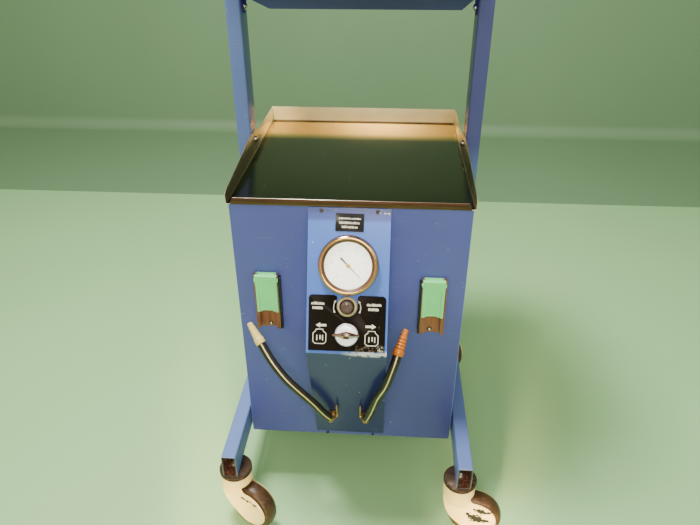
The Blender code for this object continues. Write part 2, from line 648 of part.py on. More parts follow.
def tray(name, front, back, base, paint, place=Matrix(), ear=None):
    """Pressed tray: floor, raised side walls, back wall, low front lip with mitred ends."""
    pan = block(name, (-TRAY_HALF, front, base - TRAY_T), (TRAY_HALF, back, base), paint, place)
    parts = []
    for side, sign in side_pairs():
        inner, outer = sorted((sign * (TRAY_HALF - TRAY_T), sign * TRAY_HALF))
        outline = side_wall_outline(front + 0.0005, back, base)
        parts.append(prism(f"join_{name}_wall_{side}", outline, inner, outer, "X", None, place))
        if ear:
            parts.append(prism(f"join_{name}_ear_{side}", ear, inner, outer, "X", None, place))
    parts.append(block(f"join_{name}_back", (-TRAY_HALF, back - TRAY_T, base - TRAY_T),
                       (TRAY_HALF, back, base + TRAY_WALL_BACK), None, place))
    lip = [(-0.1908, base - TRAY_T), (0.1908, base - TRAY_T), (0.1908, base), (0.1860, base + LIP_H),
           (-0.1860, base + LIP_H), (-0.1908, base)]
    parts.append(prism(f"join_{name}_lip", lip, front, front + TRAY_T, "Y", None, place))
    return fuse(pan, *parts)


def bolt(name, sign, z):
    """Domed head inside the tray wall, shank into the upright, axis along X."""
    head_face = TRAY_HALF - TRAY_T - GAP
    shank_end = TUBE_IN + TUBE_WALL + 0.006
    profile = [(0, -(head_face - 0.0045)), (0.0045, -(head_face - 0.0035)), (0.0065, -head_face),
               (BOLT_R, -head_face), (BOLT_R, -shank_end), (0, -shank_end)]
    turn = Matrix.Rotation(math.radians(-90 * sign), 4, "Y")
    place = Matrix.Translation((0, FRONT_Y + BOLT_Y, z)) @ turn
    turned(name, profile, "steel", place, 16)


def make_trays():
    lower = tray("lower_tray", FRONT_Y + TRAY_FRONT, FRONT_Y + TRAY_BACK, TRAY_Z, "stainless")
    pivot = Vector((0, FRONT_Y + BOLT_Y, TRAY_Z + SHELF_PIVOT_Z))
    tilted = Matrix.Translation(pivot) @ Matrix.Rotation(-SHELF_TILT, 4, "X")
    shelf_front = SHELF_BACK - (TRAY_BACK - TRAY_FRONT)
    base = SHELF_RISE + TRAY_T
    ear = [(-0.023, base)] + arc((0, 0), 0.012, 200, 340, 8) + [(0.023, base)]
    shelf = tray("upper_shelf", shelf_front, SHELF_BACK, base, "blue_paint", tilted, ear)
    for side, sign in side_pairs():
        for name, z, target in (("tray_bolt_", TRAY_Z + BOLT_Z, lower), ("shelf_bolt_", pivot.z, shelf)):
            inner, outer = sign * (TRAY_HALF - TRAY_T - 0.003), sign * (TRAY_HALF + 0.003)
            cut(target, rod(f"cut_{name}{side}", (inner, pivot.y, z), (outer, pivot.y, z), BOLT_R + GAP,
                            segments=12))
            bolt(name + side, sign, z)


# ---------------------------------------------------------------- inside the cabinet

def make_pump():
    floor = CABINET_Z + SHEET + GAP
    y_mid = FRONT_Y + 0.235
    rise = 0.030
    plate_t = 0.002
    half_hat = [(0.078, floor + rise), (0.078, floor), (0.105, floor), (0.105, floor + plate_t),
                (0.080, floor + plate_t), (0.080, floor + rise + plate_t)]
    hat = [(y_mid + out, z) for out, z in half_hat] + [(y_mid - out, z) for out, z in reversed(half_hat)]
    prism("pump_mount_plate", hat, -0.150, 0.150, "X", "steel")
    deck = floor + rise + plate_t + GAP
    axis_z = deck + 0.070
    along_x = Matrix.Translation((0, y_mid, axis_z)) @ Matrix.Rotation(math.pi / 2, 4, "Y")
    # local Z of the turned pieces runs along +X
    motor = [(0, -0.085), (0.020, -0.085), (0.060, -0.078), (0.060, 0.034), (0.050, 0.040),
             (0.018, 0.040), (0.018, 0.0445), (0, 0.0445)]
    body = turned("pump_motor", motor, "cast_grey", along_x, 24)
    fuse(body, block("join_motor_foot", (-0.070, y_mid - 0.045, deck),
                     (0.025, y_mid + 0.045, axis_z - 0.040)))
    shaft_end = -0.0853
    hub = [(0, shaft_end - 0.014), (0.013, shaft_end - 0.014), (0.013, shaft_end), (0, shaft_end)]
    fan = turned("motor_fan", hub, "black_plastic", along_x, 16)
    blade_count = 6
    for i in range(blade_count):
        turn = along_x @ Matrix.Rotation(math.tau * i / blade_count, 4, "Z")
        pitch = Matrix.Translation((0, 0, shaft_end - 0.007)) @ Matrix.Rotation(math.radians(35), 4, "X")
        fuse(fan, block(f"join_blade_{i}", (0.008, -0.007, -0.0008), (0.048, 0.007, 0.0008),
                        None, turn @ pitch))
    head = block("pump_head", (0.0450, y_mid - 0.040, axis_z - 0.040),
                 (0.115, y_mid + 0.040, axis_z + 0.040), "cast_grey")
    for name, sign in (("front", -1), ("back", 1)):
        start = Vector((0.080, y_mid + sign * 0.035, axis_z))
        end = start + Vector((0, sign * 0.035, 0))
        fuse(head, rod(f"join_cylinder_{name}", start, end, 0.028, segments=20))
    fuse(head, block("join_head_foot", (0.055, y_mid - 0.030, deck), (0.105, y_mid + 0.030, axis_z - 0.035)))

    bowl = [(0, 0), (0.020, 0), (0.030, 0.006), (0.032, 0.070), (0.036, 0.072), (0.036, 0.092),
            (0.012, 0.096), (0.012, 0.108), (0, 0.108)]
    turned("intake_filter", bowl, "clear_cream", Matrix.Translation((0.145, FRONT_Y + 0.060, floor)), 20)
    silencer = [(0, -0.070), (0.010, -0.070), (0.010, -0.055), (0.024, -0.050), (0.024, 0.050),
                (0.010, 0.055), (0.010, 0.070), (0, 0.070)]
    silencer_at = Matrix.Translation((-0.060, FRONT_Y + 0.060, floor + 0.025))
    turned("exhaust_silencer", silencer, "steel", silencer_at @ Matrix.Rotation(math.pi / 2, 4, "Y"), 20)


def make_power_inlet():
    panel = FRONT_Y + CABINET_DEPTH + GAP + SHEET
    z = CABINET_Z + 0.066
    low, high = panel + GAP, panel + 0.003
    inlet = block("mains_inlet", (0.0680, low, z - 0.0155), (0.1120, high, z + 0.0155), "black_plastic")
    fuse(inlet, block("join_inlet_body", (0.0740, panel - 0.022, z - 0.0120),
                      (0.1060, low + 0.001, z + 0.0120)))
    cut(inlet, block("cut_inlet_socket", (0.0770, panel - 0.016, z - 0.0090),
                     (0.1030, panel + 0.02, z + 0.0090)))
    for i, (x, up) in enumerate([(0.083, -0.002), (0.090, 0.003), (0.097, -0.002)]):
        fuse(inlet, block(f"join_inlet_pin_{i}", (x - 0.001, panel - 0.018, z - 0.0025 + up),
                          (x + 0.001, panel - 0.003, z + 0.0025 + up)))
    frame = block("power_switch_frame", (0.1230, low, z - 0.0155), (0.1470, high, z + 0.0155),
                  "black_plastic")
    fuse(frame, block("join_switch_body", (0.1260, panel - 0.020, z - 0.0120),
                      (0.1440, low + 0.001, z + 0.0120)))
    cut(frame, block("cut_switch_well", (0.1280, panel - 0.014, z - 0.0105),
                     (0.1420, panel + 0.02, z + 0.0105)))
    # rocker: two faces at a shallow angle, pivot across the well
    place = Matrix.Translation((0.135, panel - 0.002, z)) @ Matrix.Rotation(math.radians(-10), 4, "X")
    outline = [(0.0045, -0.0090), (0.0065, 0.0), (0.0045, 0.0090), (-0.0030, 0.0085), (-0.0055, 0.0),
               (-0.0030, -0.0085)]
    prism("power_rocker", outline, -0.0066, 0.0066, "X", "black_plastic", place)


clear_scene()
make_frame()
for corner_name, (caster_x, caster_y, degrees) in CASTERS.items():
    make_caster(corner_name, caster_x, caster_y, degrees)
make_cabinet()
make_console()
for side_name, side_sign in side_pairs():
    make_bracket(side_name, side_sign)
make_outlet("left", -1, HOSE_LEFT)
make_outlet("right", 1, HOSE_RIGHT)
make_trays()
make_pump()
make_power_inlet()
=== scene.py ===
"""Looks of a mobile medical suction unit: painted frame and cabinet, console, gauge, trays, hoses.

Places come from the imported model's boxes. Local frames: on the console's faces X is right, Y up the
face and Z out of it; on a caster X runs along the wheel's trail, Y along its axle and Z up.
"""
import math
import random

import bmesh
import bpy
from mathutils import Matrix, Vector


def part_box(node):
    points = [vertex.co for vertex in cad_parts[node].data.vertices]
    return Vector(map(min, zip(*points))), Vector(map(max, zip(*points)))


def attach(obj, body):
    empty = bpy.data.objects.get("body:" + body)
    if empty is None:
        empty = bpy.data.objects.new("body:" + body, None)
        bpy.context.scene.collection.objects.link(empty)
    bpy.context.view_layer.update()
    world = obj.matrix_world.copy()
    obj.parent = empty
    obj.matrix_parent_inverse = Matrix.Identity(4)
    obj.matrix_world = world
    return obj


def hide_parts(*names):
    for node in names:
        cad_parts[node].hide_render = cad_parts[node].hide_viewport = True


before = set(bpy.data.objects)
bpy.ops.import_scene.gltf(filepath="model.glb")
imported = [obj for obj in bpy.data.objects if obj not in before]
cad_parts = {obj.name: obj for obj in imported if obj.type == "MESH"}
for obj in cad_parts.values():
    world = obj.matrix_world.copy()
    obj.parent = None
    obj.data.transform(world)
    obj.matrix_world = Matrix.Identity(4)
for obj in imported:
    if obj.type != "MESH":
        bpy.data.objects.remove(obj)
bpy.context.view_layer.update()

GAP = 0.0003            # between neighbouring parts
SHEET = 0.0016          # cabinet and console sheet
TRAY_T = 0.0012         # tray and shelf sheet
PRINT_T = 0.00015       # ink stands this proud of its plate
SIDES = (("left", -1), ("right", 1))
MATERIALS = {}

# ---------------------------------------------------------------- places, from the frame

CABINET_LOW, CABINET_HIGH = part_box("cabinet_shell")
CONSOLE_LOW, CONSOLE_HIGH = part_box("console_housing")
TRAY_LOW, TRAY_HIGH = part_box("lower_tray")
FRONT_Y = CABINET_LOW.y
TRAY_Z = TRAY_LOW.z + TRAY_T
BACK_WALL, FRONT_LIP = 0.0316, 0.0112
CONSOLE_X = CONSOLE_HIGH.x
KNEE_OUT = FRONT_Y - CONSOLE_LOW.y
KNEE_DROP = 0.219
CONSOLE_DROP = 0.492
FACE_LEAN = math.atan2(KNEE_OUT, KNEE_DROP)
LOWER_LEAN = math.atan2(KNEE_OUT, CONSOLE_DROP - KNEE_DROP)
GAUGE_S, REGULATOR_S, SELECTOR_S = 0.094, 0.1605, 0.2066     # down the sloping face
PLATE_TOP_S, PLATE_END_S, PLATE_HALF, PLATE_T = 0.1425, 0.2341, 0.062, 0.0015
RING_R = 0.0164
OUTLET_X, OUTLET_DROP, TAP_X = 0.030, 0.4146, 0.0217
SHELF_TILT = math.radians(12.8)
BOLT_Y = 0.238
SHELF_PIVOT = Vector((0, FRONT_Y + BOLT_Y, TRAY_Z + 0.260))

# hose routes: X, out from the cabinet front, below the tray's floor
HOSE_R = 0.0077
HOSE_LEFT = [(-0.0365, -0.0440, -0.4110), (-0.0455, -0.0540, -0.3910), (-0.0615, -0.0670, -0.3560),
             (-0.0822, -0.0740, -0.3250), (-0.1042, -0.0730, -0.3000), (-0.1255, -0.0630, -0.2775),
             (-0.1423, -0.0500, -0.2590), (-0.1511, -0.0420, -0.2480)]
HOSE_RIGHT = [(0.0330, -0.0440, -0.4090), (0.0400, -0.0570, -0.3810), (0.0517, -0.0740, -0.3320),
              (0.0648, -0.0840, -0.2960), (0.0738, -0.0845, -0.2665), (0.0808, -0.0772, -0.2462),
              (0.0836, -0.0710, -0.2385)]


# ---------------------------------------------------------------- materials

# the Mix node shows other sockets for numbers than for colours, under the same names
MIX_FLOAT_A, MIX_FLOAT_B, MIX_COLOUR_A, MIX_COLOUR_B, MIX_COLOUR_OUT = 2, 3, 6, 7, 2


def shade(colour, factor):
    return (*[min(1.0, max(0.0, c * factor)) for c in colour], 1.0)


def fill(node, inputs):
    """Set each input to a constant, or link it if the value is another node's output."""
    for key, value in inputs.items():
        if isinstance(value, bpy.types.NodeSocket):
            node.id_data.links.new(value, node.inputs[key])
        else:
            node.inputs[key].default_value = value


def add_node(tree, kind, inputs, **settings):
    node = tree.nodes.new("ShaderNode" + kind)
    for key, value in settings.items():
        setattr(node, key, value)
    fill(node, inputs)
    return node


class Finish:
    """A Principled material built up in layers, all in object coordinates (metres)."""

    def __init__(self, name, colour, roughness, metallic=0.0, mottle=0.07, mottle_scale=9.0,
                 bump=0.05, bump_scale=900.0, coat=0.0, specular=0.5, stretch=(1, 1, 1), spread=0.10,
                 local=None, glow=None, alpha=1.0):
        self.name = name
        self.made = bpy.data.materials.new(name)
        self.made.use_nodes = True
        self.shader = self.made.node_tree.nodes["Principled BSDF"]
        fill(self.shader, {"Metallic": metallic, "Coat Weight": coat, "Coat Roughness": 0.12,
                           "Specular IOR Level": specular, "Alpha": alpha})
        if glow:
            fill(self.shader, {"Emission Color": shade(glow[0], 1.0), "Emission Strength": glow[1]})
        self.coords = self.node("TexCoord", {}).outputs["Object"]
        if local:
            inverse = local.inverted()
            self.coords = self.node("Mapping", {"Vector": self.coords, "Location": inverse.translation,
                                                "Rotation": inverse.to_euler()}).outputs["Vector"]
        ramp = self.node("ValToRGB", {"Fac": self.noise(mottle_scale, 5.0, stretch)})
        for stop, position, factor in zip(ramp.color_ramp.elements, (0.32, 0.70), (1 - mottle, 1 + mottle)):
            stop.position = position
            stop.color = shade(colour, factor)
        self.colour = ramp.outputs["Color"]
        self.rough = self.node("MapRange", {
            "Value": self.noise(mottle_scale * 5, 4.0, stretch), "To Min": max(0.02, roughness - spread),
            "To Max": min(1.0, roughness + spread)}).outputs["Result"]
        if bump:
            relief = self.node("Bump", {"Strength": bump, "Distance": 0.0004,
                                        "Height": self.noise(bump_scale, 3.0, stretch)})
            fill(self.shader, {"Normal": relief.outputs["Normal"]})

    def node(self, kind, inputs, **settings):
        return add_node(self.made.node_tree, kind, inputs, **settings)

    def noise(self, scale, detail, stretch=(1, 1, 1)):
        mapping = self.node("Mapping", {"Vector": self.coords, "Scale": stretch})
        return self.node("TexNoise", {"Vector": mapping.outputs["Vector"], "Scale": scale,
                                      "Detail": detail}).outputs["Fac"]

    def maths(self, operation, first, second):
        return self.node("Math", {0: first, 1: second}, operation=operation).outputs[0]

    def both(self, first, second):
        return self.maths("MULTIPLY", first, second)

    def ramp(self, value, start, end):
        """0 where the value is start, 1 where it is end."""
        return self.node("MapRange", {"Value": value, "From Min": start, "From Max": end}).outputs["Result"]

    def threshold(self, value, edge, soft):
        """0 below the edge, 1 above it, over a soft width."""
        return self.ramp(value, edge - soft, edge + soft)

    def near(self, centre, radius, soft, squash=(1, 1, 1)):
        """1 inside an ellipsoid, 0 outside it."""
        offset = [-c * s for c, s in zip(centre, squash)]
        mapping = self.node("Mapping", {"Vector": self.coords, "Location": offset, "Scale": squash})
        length = self.node("VectorMath", {0: mapping.outputs["Vector"]}, operation="LENGTH")
        return self.maths("SUBTRACT", 1.0, self.threshold(length.outputs["Value"], radius, soft))

    def along(self, axis, start, end):
        """0 at start, 1 at end, along one axis."""
        return self.ramp(self.node("SeparateXYZ", {"Vector": self.coords}).outputs[axis], start, end)

    def layer(self, mask, colour, strength, roughness=None):
        """Another colour, and roughness if given, where the mask is 1."""
        mask = self.both(mask, strength)
        mix = self.node("Mix", {"Factor": mask, MIX_COLOUR_A: self.colour,
                                MIX_COLOUR_B: shade(colour, 1.0)}, data_type="RGBA")
        self.colour = mix.outputs[MIX_COLOUR_OUT]
        if roughness is not None:
            self.rough = self.node("Mix", {"Factor": mask, MIX_FLOAT_A: self.rough,
                                           MIX_FLOAT_B: roughness}).outputs[0]
        return self

    def scratches(self, colour, strength, stretch, edge):
        return self.layer(self.threshold(self.noise(1.0, 6.0, stretch), edge, 0.03), colour, strength)

    def specks(self, colour, strength, scale, edge):
        return self.layer(self.threshold(self.noise(scale, 2.0), edge, 0.02), colour, strength)

    def keep(self):
        """Wire up the layers and keep the material under the name that it was given."""
        fill(self.shader, {"Base Color": self.colour, "Roughness": self.rough})
        MATERIALS[self.name] = self.made


def enamel(name, colour, roughness, coat=0.35, specular=0.5):
    """Gloss sheet-metal enamel with faint orange peel, scuffs and a few light specks."""
    worn = (0.34, 0.40, 0.56)
    paint = Finish(name, colour, roughness, mottle=0.05, mottle_scale=5.0, bump_scale=420.0,
                   coat=coat, specular=specular, spread=0.05)
    paint.specks(worn, 0.35, 120.0, 0.735)
    return paint.scratches(worn, 0.16, (14, 14, 190), 0.70)


def steel(name, colour, roughness, stretch=(1, 1, 1), mottle=0.10, scale=30.0, spread=0.06,
          metallic=1.0, specular=0.5):
    """Bright metal; a metallic value under 1 stands for a dull film on it."""
    return Finish(name, colour, roughness, metallic, mottle, scale, 0.03, 1200.0, specular=specular,
                  stretch=stretch, spread=spread)


def glass(name, colour, roughness, alpha):
    """Clear pane: mostly see-through, with the gloss of its surface."""
    return Finish(name, colour, roughness, mottle=0.01, bump=0.0, spread=0.01, specular=0.6, alpha=alpha)


def frame_finishes():
    """Blue frame paint, with painted shade high on the right upright and a painted highlight low on the left,
    and rusty tube ends.
    """
    paint = enamel("frame_paint", (0.110, 0.170, 0.42), 0.34, coat=0.08, specular=0.3)
    # painted shade: the right upright is darker above the tray
    dim = paint.both(paint.along("X", 0.15, 0.19), paint.along("Z", TRAY_Z - 0.02, TRAY_Z + 0.03))
    paint.layer(dim, (0.068, 0.070, 0.235), 0.85)
    # painted highlight: the paint is paler low on the left
    pale = paint.both(paint.along("X", 0.05, -0.05), paint.along("Z", 0.25, 0.18))
    paint.layer(pale, (0.145, 0.225, 0.52), 0.8).keep()
    # paler strips on the rounded edges: partly wear, partly a painted highlight
    enamel("frame_edge_wear_and_highlight", (0.30, 0.38, 0.62), 0.38).keep()
    rust = Finish("tube_rust", (0.085, 0.030, 0.018), 0.75, 0.0, 0.45, 60.0, 0.5, 700.0)
    rust.specks((0.30, 0.13, 0.07), 0.8, 210.0, 0.60).keep()
    Finish("tube_lip", (0.055, 0.048, 0.050), 0.5, 0.0, 0.35, 90.0, 0.2, 700.0).keep()


def cabinet_finishes():
    """Cabinet paint with painted shade: darker toward its foot and most of all at the lower right."""
    paint = enamel("cabinet_paint", (0.098, 0.112, 0.43), 0.40, coat=0.12, specular=0.36)
    paint.layer(paint.threshold(paint.noise(3.0, 2.0, (1, 1, 0.4)), 0.62, 0.12), (0.116, 0.136, 0.49), 0.5)
    # painted shade: a dark patch low on the right
    paint.layer(paint.near((0.17, FRONT_Y, TRAY_Z - 0.45), 0.17, 0.13), (0.036, 0.040, 0.185), 0.85)
    # painted shade: darker toward the foot
    paint.layer(paint.along("Z", TRAY_Z - 0.30, TRAY_Z - 0.52), (0.068, 0.080, 0.31), 0.55).keep()
    # paler strips on the rounded edges: partly wear, partly a painted highlight
    enamel("cabinet_edge_wear_and_highlight", (0.20, 0.28, 0.58), 0.40).keep()


def console_finishes():
    """Console paint: painted shade below the knee, a painted shadow of the tray along its top, rubbed bare on
    the knee's right half.
    """
    paint = enamel("console_paint", (0.066, 0.178, 0.66), 0.33, coat=0.10, specular=0.35)
    knee_z = TRAY_Z - KNEE_DROP
    # painted shade: the face below the knee is made dark
    paint.layer(paint.along("Z", knee_z + 0.0008, knee_z - 0.0008), (0.020, 0.016, 0.088), 0.92, 0.30)
    # painted shadow of the tray's lip along the top of the face
    paint.layer(paint.along("Z", TRAY_Z - 0.0235, TRAY_Z - 0.0190), (0.046, 0.078, 0.36), 0.88)
    worn_edge = on_face(KNEE_DROP / math.cos(FACE_LEAN), 0.040).translation
    rubbed = paint.both(paint.near(worn_edge, 0.009, 0.004, (0.25, 0.5, 1.6)),
                        paint.threshold(paint.noise(90.0, 4.0), 0.44, 0.05))
    paint.layer(rubbed, (0.86, 0.88, 0.92), 0.85)
    paint.specks((0.62, 0.70, 0.88), 0.5, 75.0, 0.745).keep()
    # paler strips on the rounded edges: partly wear, partly a painted highlight
    enamel("console_edge_wear_and_highlight", (0.42, 0.54, 0.86), 0.35).keep()


def tray_finishes():
    """Tray steel with painted reflections, bright along the back and dark in front, and the shelf's matt
    paint.
    """
    back = TRAY_HIGH.y
    # painted reflection: dark steel in front, a golden band of reflected room light toward the back
    floor = steel("tray_floor_steel", (0.067, 0.062, 0.036), 0.17, (3, 60, 60), 0.12, 6.0, 0.04)
    floor.layer(floor.along("Y", back - 0.118, back - 0.082), (0.94, 0.62, 0.18), 0.94)
    # painted shade: a dark line along the fold into the back wall
    floor.layer(floor.both(floor.along("Y", back - 0.0070, back - 0.0055),
                           floor.along("Y", back - 0.0010, back - 0.0016)), (0.16, 0.10, 0.05), 0.85)
    floor.scratches((0.30, 0.29, 0.20), 0.30, (180, 10, 10), 0.68).keep()
    # painted reflection: golden walls that turn dark toward the front
    walls = steel("tray_wall_steel", (1.0, 0.85, 0.44), 0.30, (4, 60, 4), 0.05, 8.0, 0.05, metallic=0.45)
    walls.layer(walls.along("Y", back - 0.085, back - 0.155), (0.055, 0.055, 0.032), 0.93)
    # painted shade: darker at the foot of the walls, along the fold
    walls.layer(walls.along("Z", TRAY_Z + 0.0034, TRAY_Z + 0.0018), (0.10, 0.06, 0.03), 0.9).keep()
    # painted reflection: the lip's steel is coloured brown as the floor shows in it
    steel("tray_lip_painted_reflection", (0.185, 0.090, 0.058), 0.30, (3, 60, 60), 0.25, 8.0).keep()
    steel("tray_edge_steel", (0.90, 0.80, 0.62), 0.30).keep()
    enamel("shelf_paint", (0.062, 0.044, 0.36), 0.42, coat=0.0, specular=0.04).keep()
    # paler strips on the rounded edges: partly wear, partly a painted highlight
    enamel("shelf_edge_wear_and_highlight", (0.16, 0.16, 0.34), 0.30).keep()


def metal_finishes():
    # painted reflection: the plate's steel is coloured brown as the floor shows in it
    steel("bracket_steel", (0.30, 0.115, 0.066), 0.36, (40, 40, 5), 0.25, 5.0, metallic=0.35,
          specular=0.25).keep()
    # paler strips on the rounded edges: partly wear, partly a painted highlight
    steel("bracket_edge_wear_and_highlight", (0.42, 0.30, 0.20), 0.30).keep()
    steel("bolt_steel", (0.78, 0.74, 0.66), 0.22).keep()
    steel("screw_dark", (0.09, 0.065, 0.05), 0.40).keep()
    steel("zinc_steel", (0.56, 0.55, 0.52), 0.42, mottle=0.2, scale=70.0).keep()
    steel("bezel", (0.74, 0.43, 0.19), 0.13, mottle=0.12, scale=14.0, spread=0.04).keep()
    # painted shade: darker copies of the bezel metal for its rims and the groove by the dial
    Finish("bezel_groove_painted_shade", (0.105, 0.050, 0.018), 0.45, 0.15, 0.3, 60.0).keep()
    steel("bezel_painted_shade", (0.16, 0.10, 0.06), 0.30).keep()
    steel("chrome", (0.82, 0.83, 0.84), 0.10, mottle=0.05, spread=0.04).keep()
    # painted shade and a painted warm reflection for the selector lever's facets
    steel("lever_painted_shade", (0.075, 0.055, 0.042), 0.36).keep()
    steel("lever_painted_warm_reflection", (0.56, 0.31, 0.17), 0.28, metallic=0.55).keep()
    # painted light: the disc glows a little to stay bright
    Finish("pearl_painted_glow", (0.96, 0.96, 0.97), 0.24, 0.25, 0.04, 40.0, 0.02, coat=0.5,
           glow=((1.0, 0.99, 0.97), 0.70)).keep()
    Finish("disc_rim", (0.50, 0.50, 0.64), 0.30, 0.35, 0.10, 60.0, 0.02, coat=0.4).keep()
    brass = steel("brass", (0.42, 0.255, 0.10), 0.30, mottle=0.2, scale=120.0, metallic=0.7)
    brass.specks((0.20, 0.12, 0.05), 0.6, 260.0, 0.66).keep()
    # painted highlight: a paler brass for the upper part of the tap's spike
    steel("brass_painted_highlight", (0.50, 0.33, 0.19), 0.30, metallic=0.6).keep()
    Finish("cast_aluminium", (0.40, 0.41, 0.43), 0.55, 0.9, 0.12, 40.0, 0.6, 500.0).keep()
    steel("silencer_aluminium", (0.60, 0.61, 0.63), 0.35, (4, 90, 90)).keep()


def plate_finishes():
    """Control plate, rubbed along its lower edge and worn to bare metal in its lower right corner."""
    plate = Finish("black_plate", (0.007, 0.0045, 0.003), 0.42, mottle=0.30, mottle_scale=22.0, specular=0.10)
    rub = plate.both(plate.near(on_face(PLATE_END_S - 0.003, 0.038).translation, 0.0085, 0.004, (0.32, 1, 1)),
                     plate.threshold(plate.noise(230.0, 4.0, (1, 2, 1)), 0.56, 0.05))
    plate.layer(rub, (0.16, 0.115, 0.085), 0.8)
    bare = plate.both(plate.near(on_face(PLATE_END_S - 0.005, 0.0555).translation, 0.0055, 0.0025),
                      plate.threshold(plate.noise(300.0, 4.0, (1.4, 1, 1)), 0.54, 0.03))
    plate.layer(bare, (0.80, 0.76, 0.70), 0.9)
    plate.specks((0.16, 0.12, 0.09), 0.5, 160.0, 0.76).keep()
    Finish("label_black", (0.010, 0.010, 0.011), 0.35, mottle=0.2, bump=0.02).keep()
    Finish("print_white", (0.86, 0.83, 0.72), 0.5, mottle=0.06, mottle_scale=300.0).keep()


def gauge_finishes():
    # painted light: the white dial glows to stay bright
    Finish("dial_white", (0.90, 0.88, 0.78), 0.55, mottle=0.015, bump=0.01,
           glow=((1.0, 0.96, 0.84), 1.8)).keep()
    Finish("dial_mark", (0.55, 0.52, 0.44), 0.6, bump=0.0).keep()
    Finish("needle_black", (0.03, 0.03, 0.028), 0.45, bump=0.0).keep()
    Finish("hub_green", (0.60, 0.52, 0.07), 0.40, 0.2, bump=0.0).keep()
    glass("gauge_glass", (1.0, 1.0, 1.0), 0.03, 0.06).keep()
    glass("clear_bowl", (0.86, 0.90, 0.92), 0.12, 0.35).keep()


def plastic_finishes():
    Finish("black_gloss", (0.006, 0.006, 0.007), 0.25, mottle=0.2, bump=0.02).keep()
    Finish("black_plastic", (0.018, 0.018, 0.019), 0.45, mottle=0.2, mottle_scale=80.0, bump=0.3,
           bump_scale=1400.0).keep()
    ring = Finish("cream_plastic", (0.47, 0.38, 0.185), 0.36, mottle=0.08, mottle_scale=60.0, coat=0.2)
    ring.specks((0.42, 0.33, 0.18), 0.5, 220.0, 0.66).keep()
    Finish("brown_plastic", (0.066, 0.040, 0.031), 0.55, mottle=0.25, mottle_scale=170.0, bump=0.3,
           bump_scale=1600.0).keep()
    clip = Finish("green_plastic", (0.21, 0.96, 0.31), 0.36, mottle=0.06, mottle_scale=25.0, coat=0.25)
    clip.specks((0.12, 0.36, 0.22), 0.4, 230.0, 0.70).keep()
    # painted highlight: paler green on the clip's rounded edges
    Finish("green_edge_highlight", (0.62, 1.0, 0.66), 0.4, mottle=0.04).keep()
    Finish("cream_tip", (0.75, 0.58, 0.18), 0.38, mottle=0.08, mottle_scale=70.0).keep()
    Finish("orange_plastic", (0.54, 0.145, 0.002), 0.36, mottle=0.08, mottle_scale=60.0, coat=0.2).keep()


def rubber_finishes():
    Finish("hose_rubber", (0.014, 0.012, 0.010), 0.42, mottle=0.3, mottle_scale=60.0, bump=0.15,
           bump_scale=1500.0).keep()
    stripe = Finish("hose_stripe", (0.80, 0.68, 0.24), 0.45, mottle=0.15, mottle_scale=90.0)
    stripe.specks((0.30, 0.22, 0.08), 0.7, 260.0, 0.66).keep()
    tyre = Finish("caster_tyre", (0.050, 0.026, 0.010), 0.40, mottle=0.30, mottle_scale=45.0, bump=0.2,
                  specular=0.35)
    scuffed = tyre.threshold(tyre.noise(110.0, 5.0, (1, 3, 1)), 0.60, 0.06)
    tyre.layer(scuffed, (0.135, 0.080, 0.042), 0.5).keep()
    collar = Finish("caster_steel", (0.042, 0.026, 0.016), 0.48, 0.15, 0.35, 60.0, 0.25, 600.0, specular=0.22)
    collar.layer(collar.threshold(collar.noise(130.0, 5.0), 0.60, 0.05), (0.20, 0.11, 0.06), 0.5).keep()


def caster_paint(name, chips, swivel):
    """Cream enamel on a cast hood. Each chip is (centre in the caster's frame, radius, squash)."""
    paint = Finish(name, (1.0, 0.76, 0.32), 0.32, mottle=0.04, mottle_scale=30.0, bump=0.12,
                   bump_scale=260.0, coat=0.08, specular=0.4, local=swivel)
    paint.layer(paint.along("Z", 0.050, 0.008), (0.74, 0.50, 0.20), 0.30)
    for centre, radius, squash in chips:
        ragged = paint.maths("ADD", paint.near(centre, radius, radius * 0.9, squash),
                             paint.both(paint.noise(240.0, 6.0), 1.9))
        paint.layer(paint.threshold(ragged, 1.45, 0.03), (0.005, 0.004, 0.003), 1.0, 0.75)
    paint.specks((0.16, 0.12, 0.07), 0.8, 150.0, 0.76).keep()


# ---------------------------------------------------------------- mesh helpers

def add_object(name, data):
    made = bpy.data.objects.new(name, data)
    bpy.context.scene.collection.objects.link(made)
    return made


def smooth_shade(mesh, angle=35):
    mesh.shade_smooth()
    mesh.set_sharp_from_angle(angle=math.radians(angle))


def add_piece(name, bm, materials, place=Matrix(), angle=35, keep_normals=False):
    if not keep_normals:
        bmesh.ops.recalc_face_normals(bm, faces=bm.faces)
    mesh = bpy.data.meshes.new(name)
    bm.to_mesh(mesh)
    bm.free()
    made = add_object(name, mesh)
    made.matrix_world = place
    for material in ([materials] if isinstance(materials, str) else materials):
        mesh.materials.append(MATERIALS[material])
    smooth_shade(mesh, angle)
    return made


def bevel(piece, width, segments, edge_material=None, angle=40):
    """Round the sharp edges; the rounded strips can have a material of their own."""
    step = piece.modifiers.new("round_edges", "BEVEL")
    step.width = width
    step.segments = segments
    step.limit_method = "ANGLE"
    step.angle_limit = math.radians(angle)
    step.use_clamp_overlap = True
    step.harden_normals = True
    if edge_material:
        names = [m.name for m in piece.data.materials]
        if edge_material not in names:
            piece.data.materials.append(MATERIALS[edge_material])
            names.append(edge_material)
        step.material = names.index(edge_material)
    return piece


def block(name, low, high, materials, place=Matrix()):
    bm = bmesh.new()
    bmesh.ops.create_cube(bm, size=1.0)
    low, high = Vector(low), Vector(high)
    bmesh.ops.scale(bm, vec=high - low, verts=bm.verts)
    bmesh.ops.translate(bm, vec=(low + high) / 2, verts=bm.verts)
    return add_piece(name, bm, materials, place)


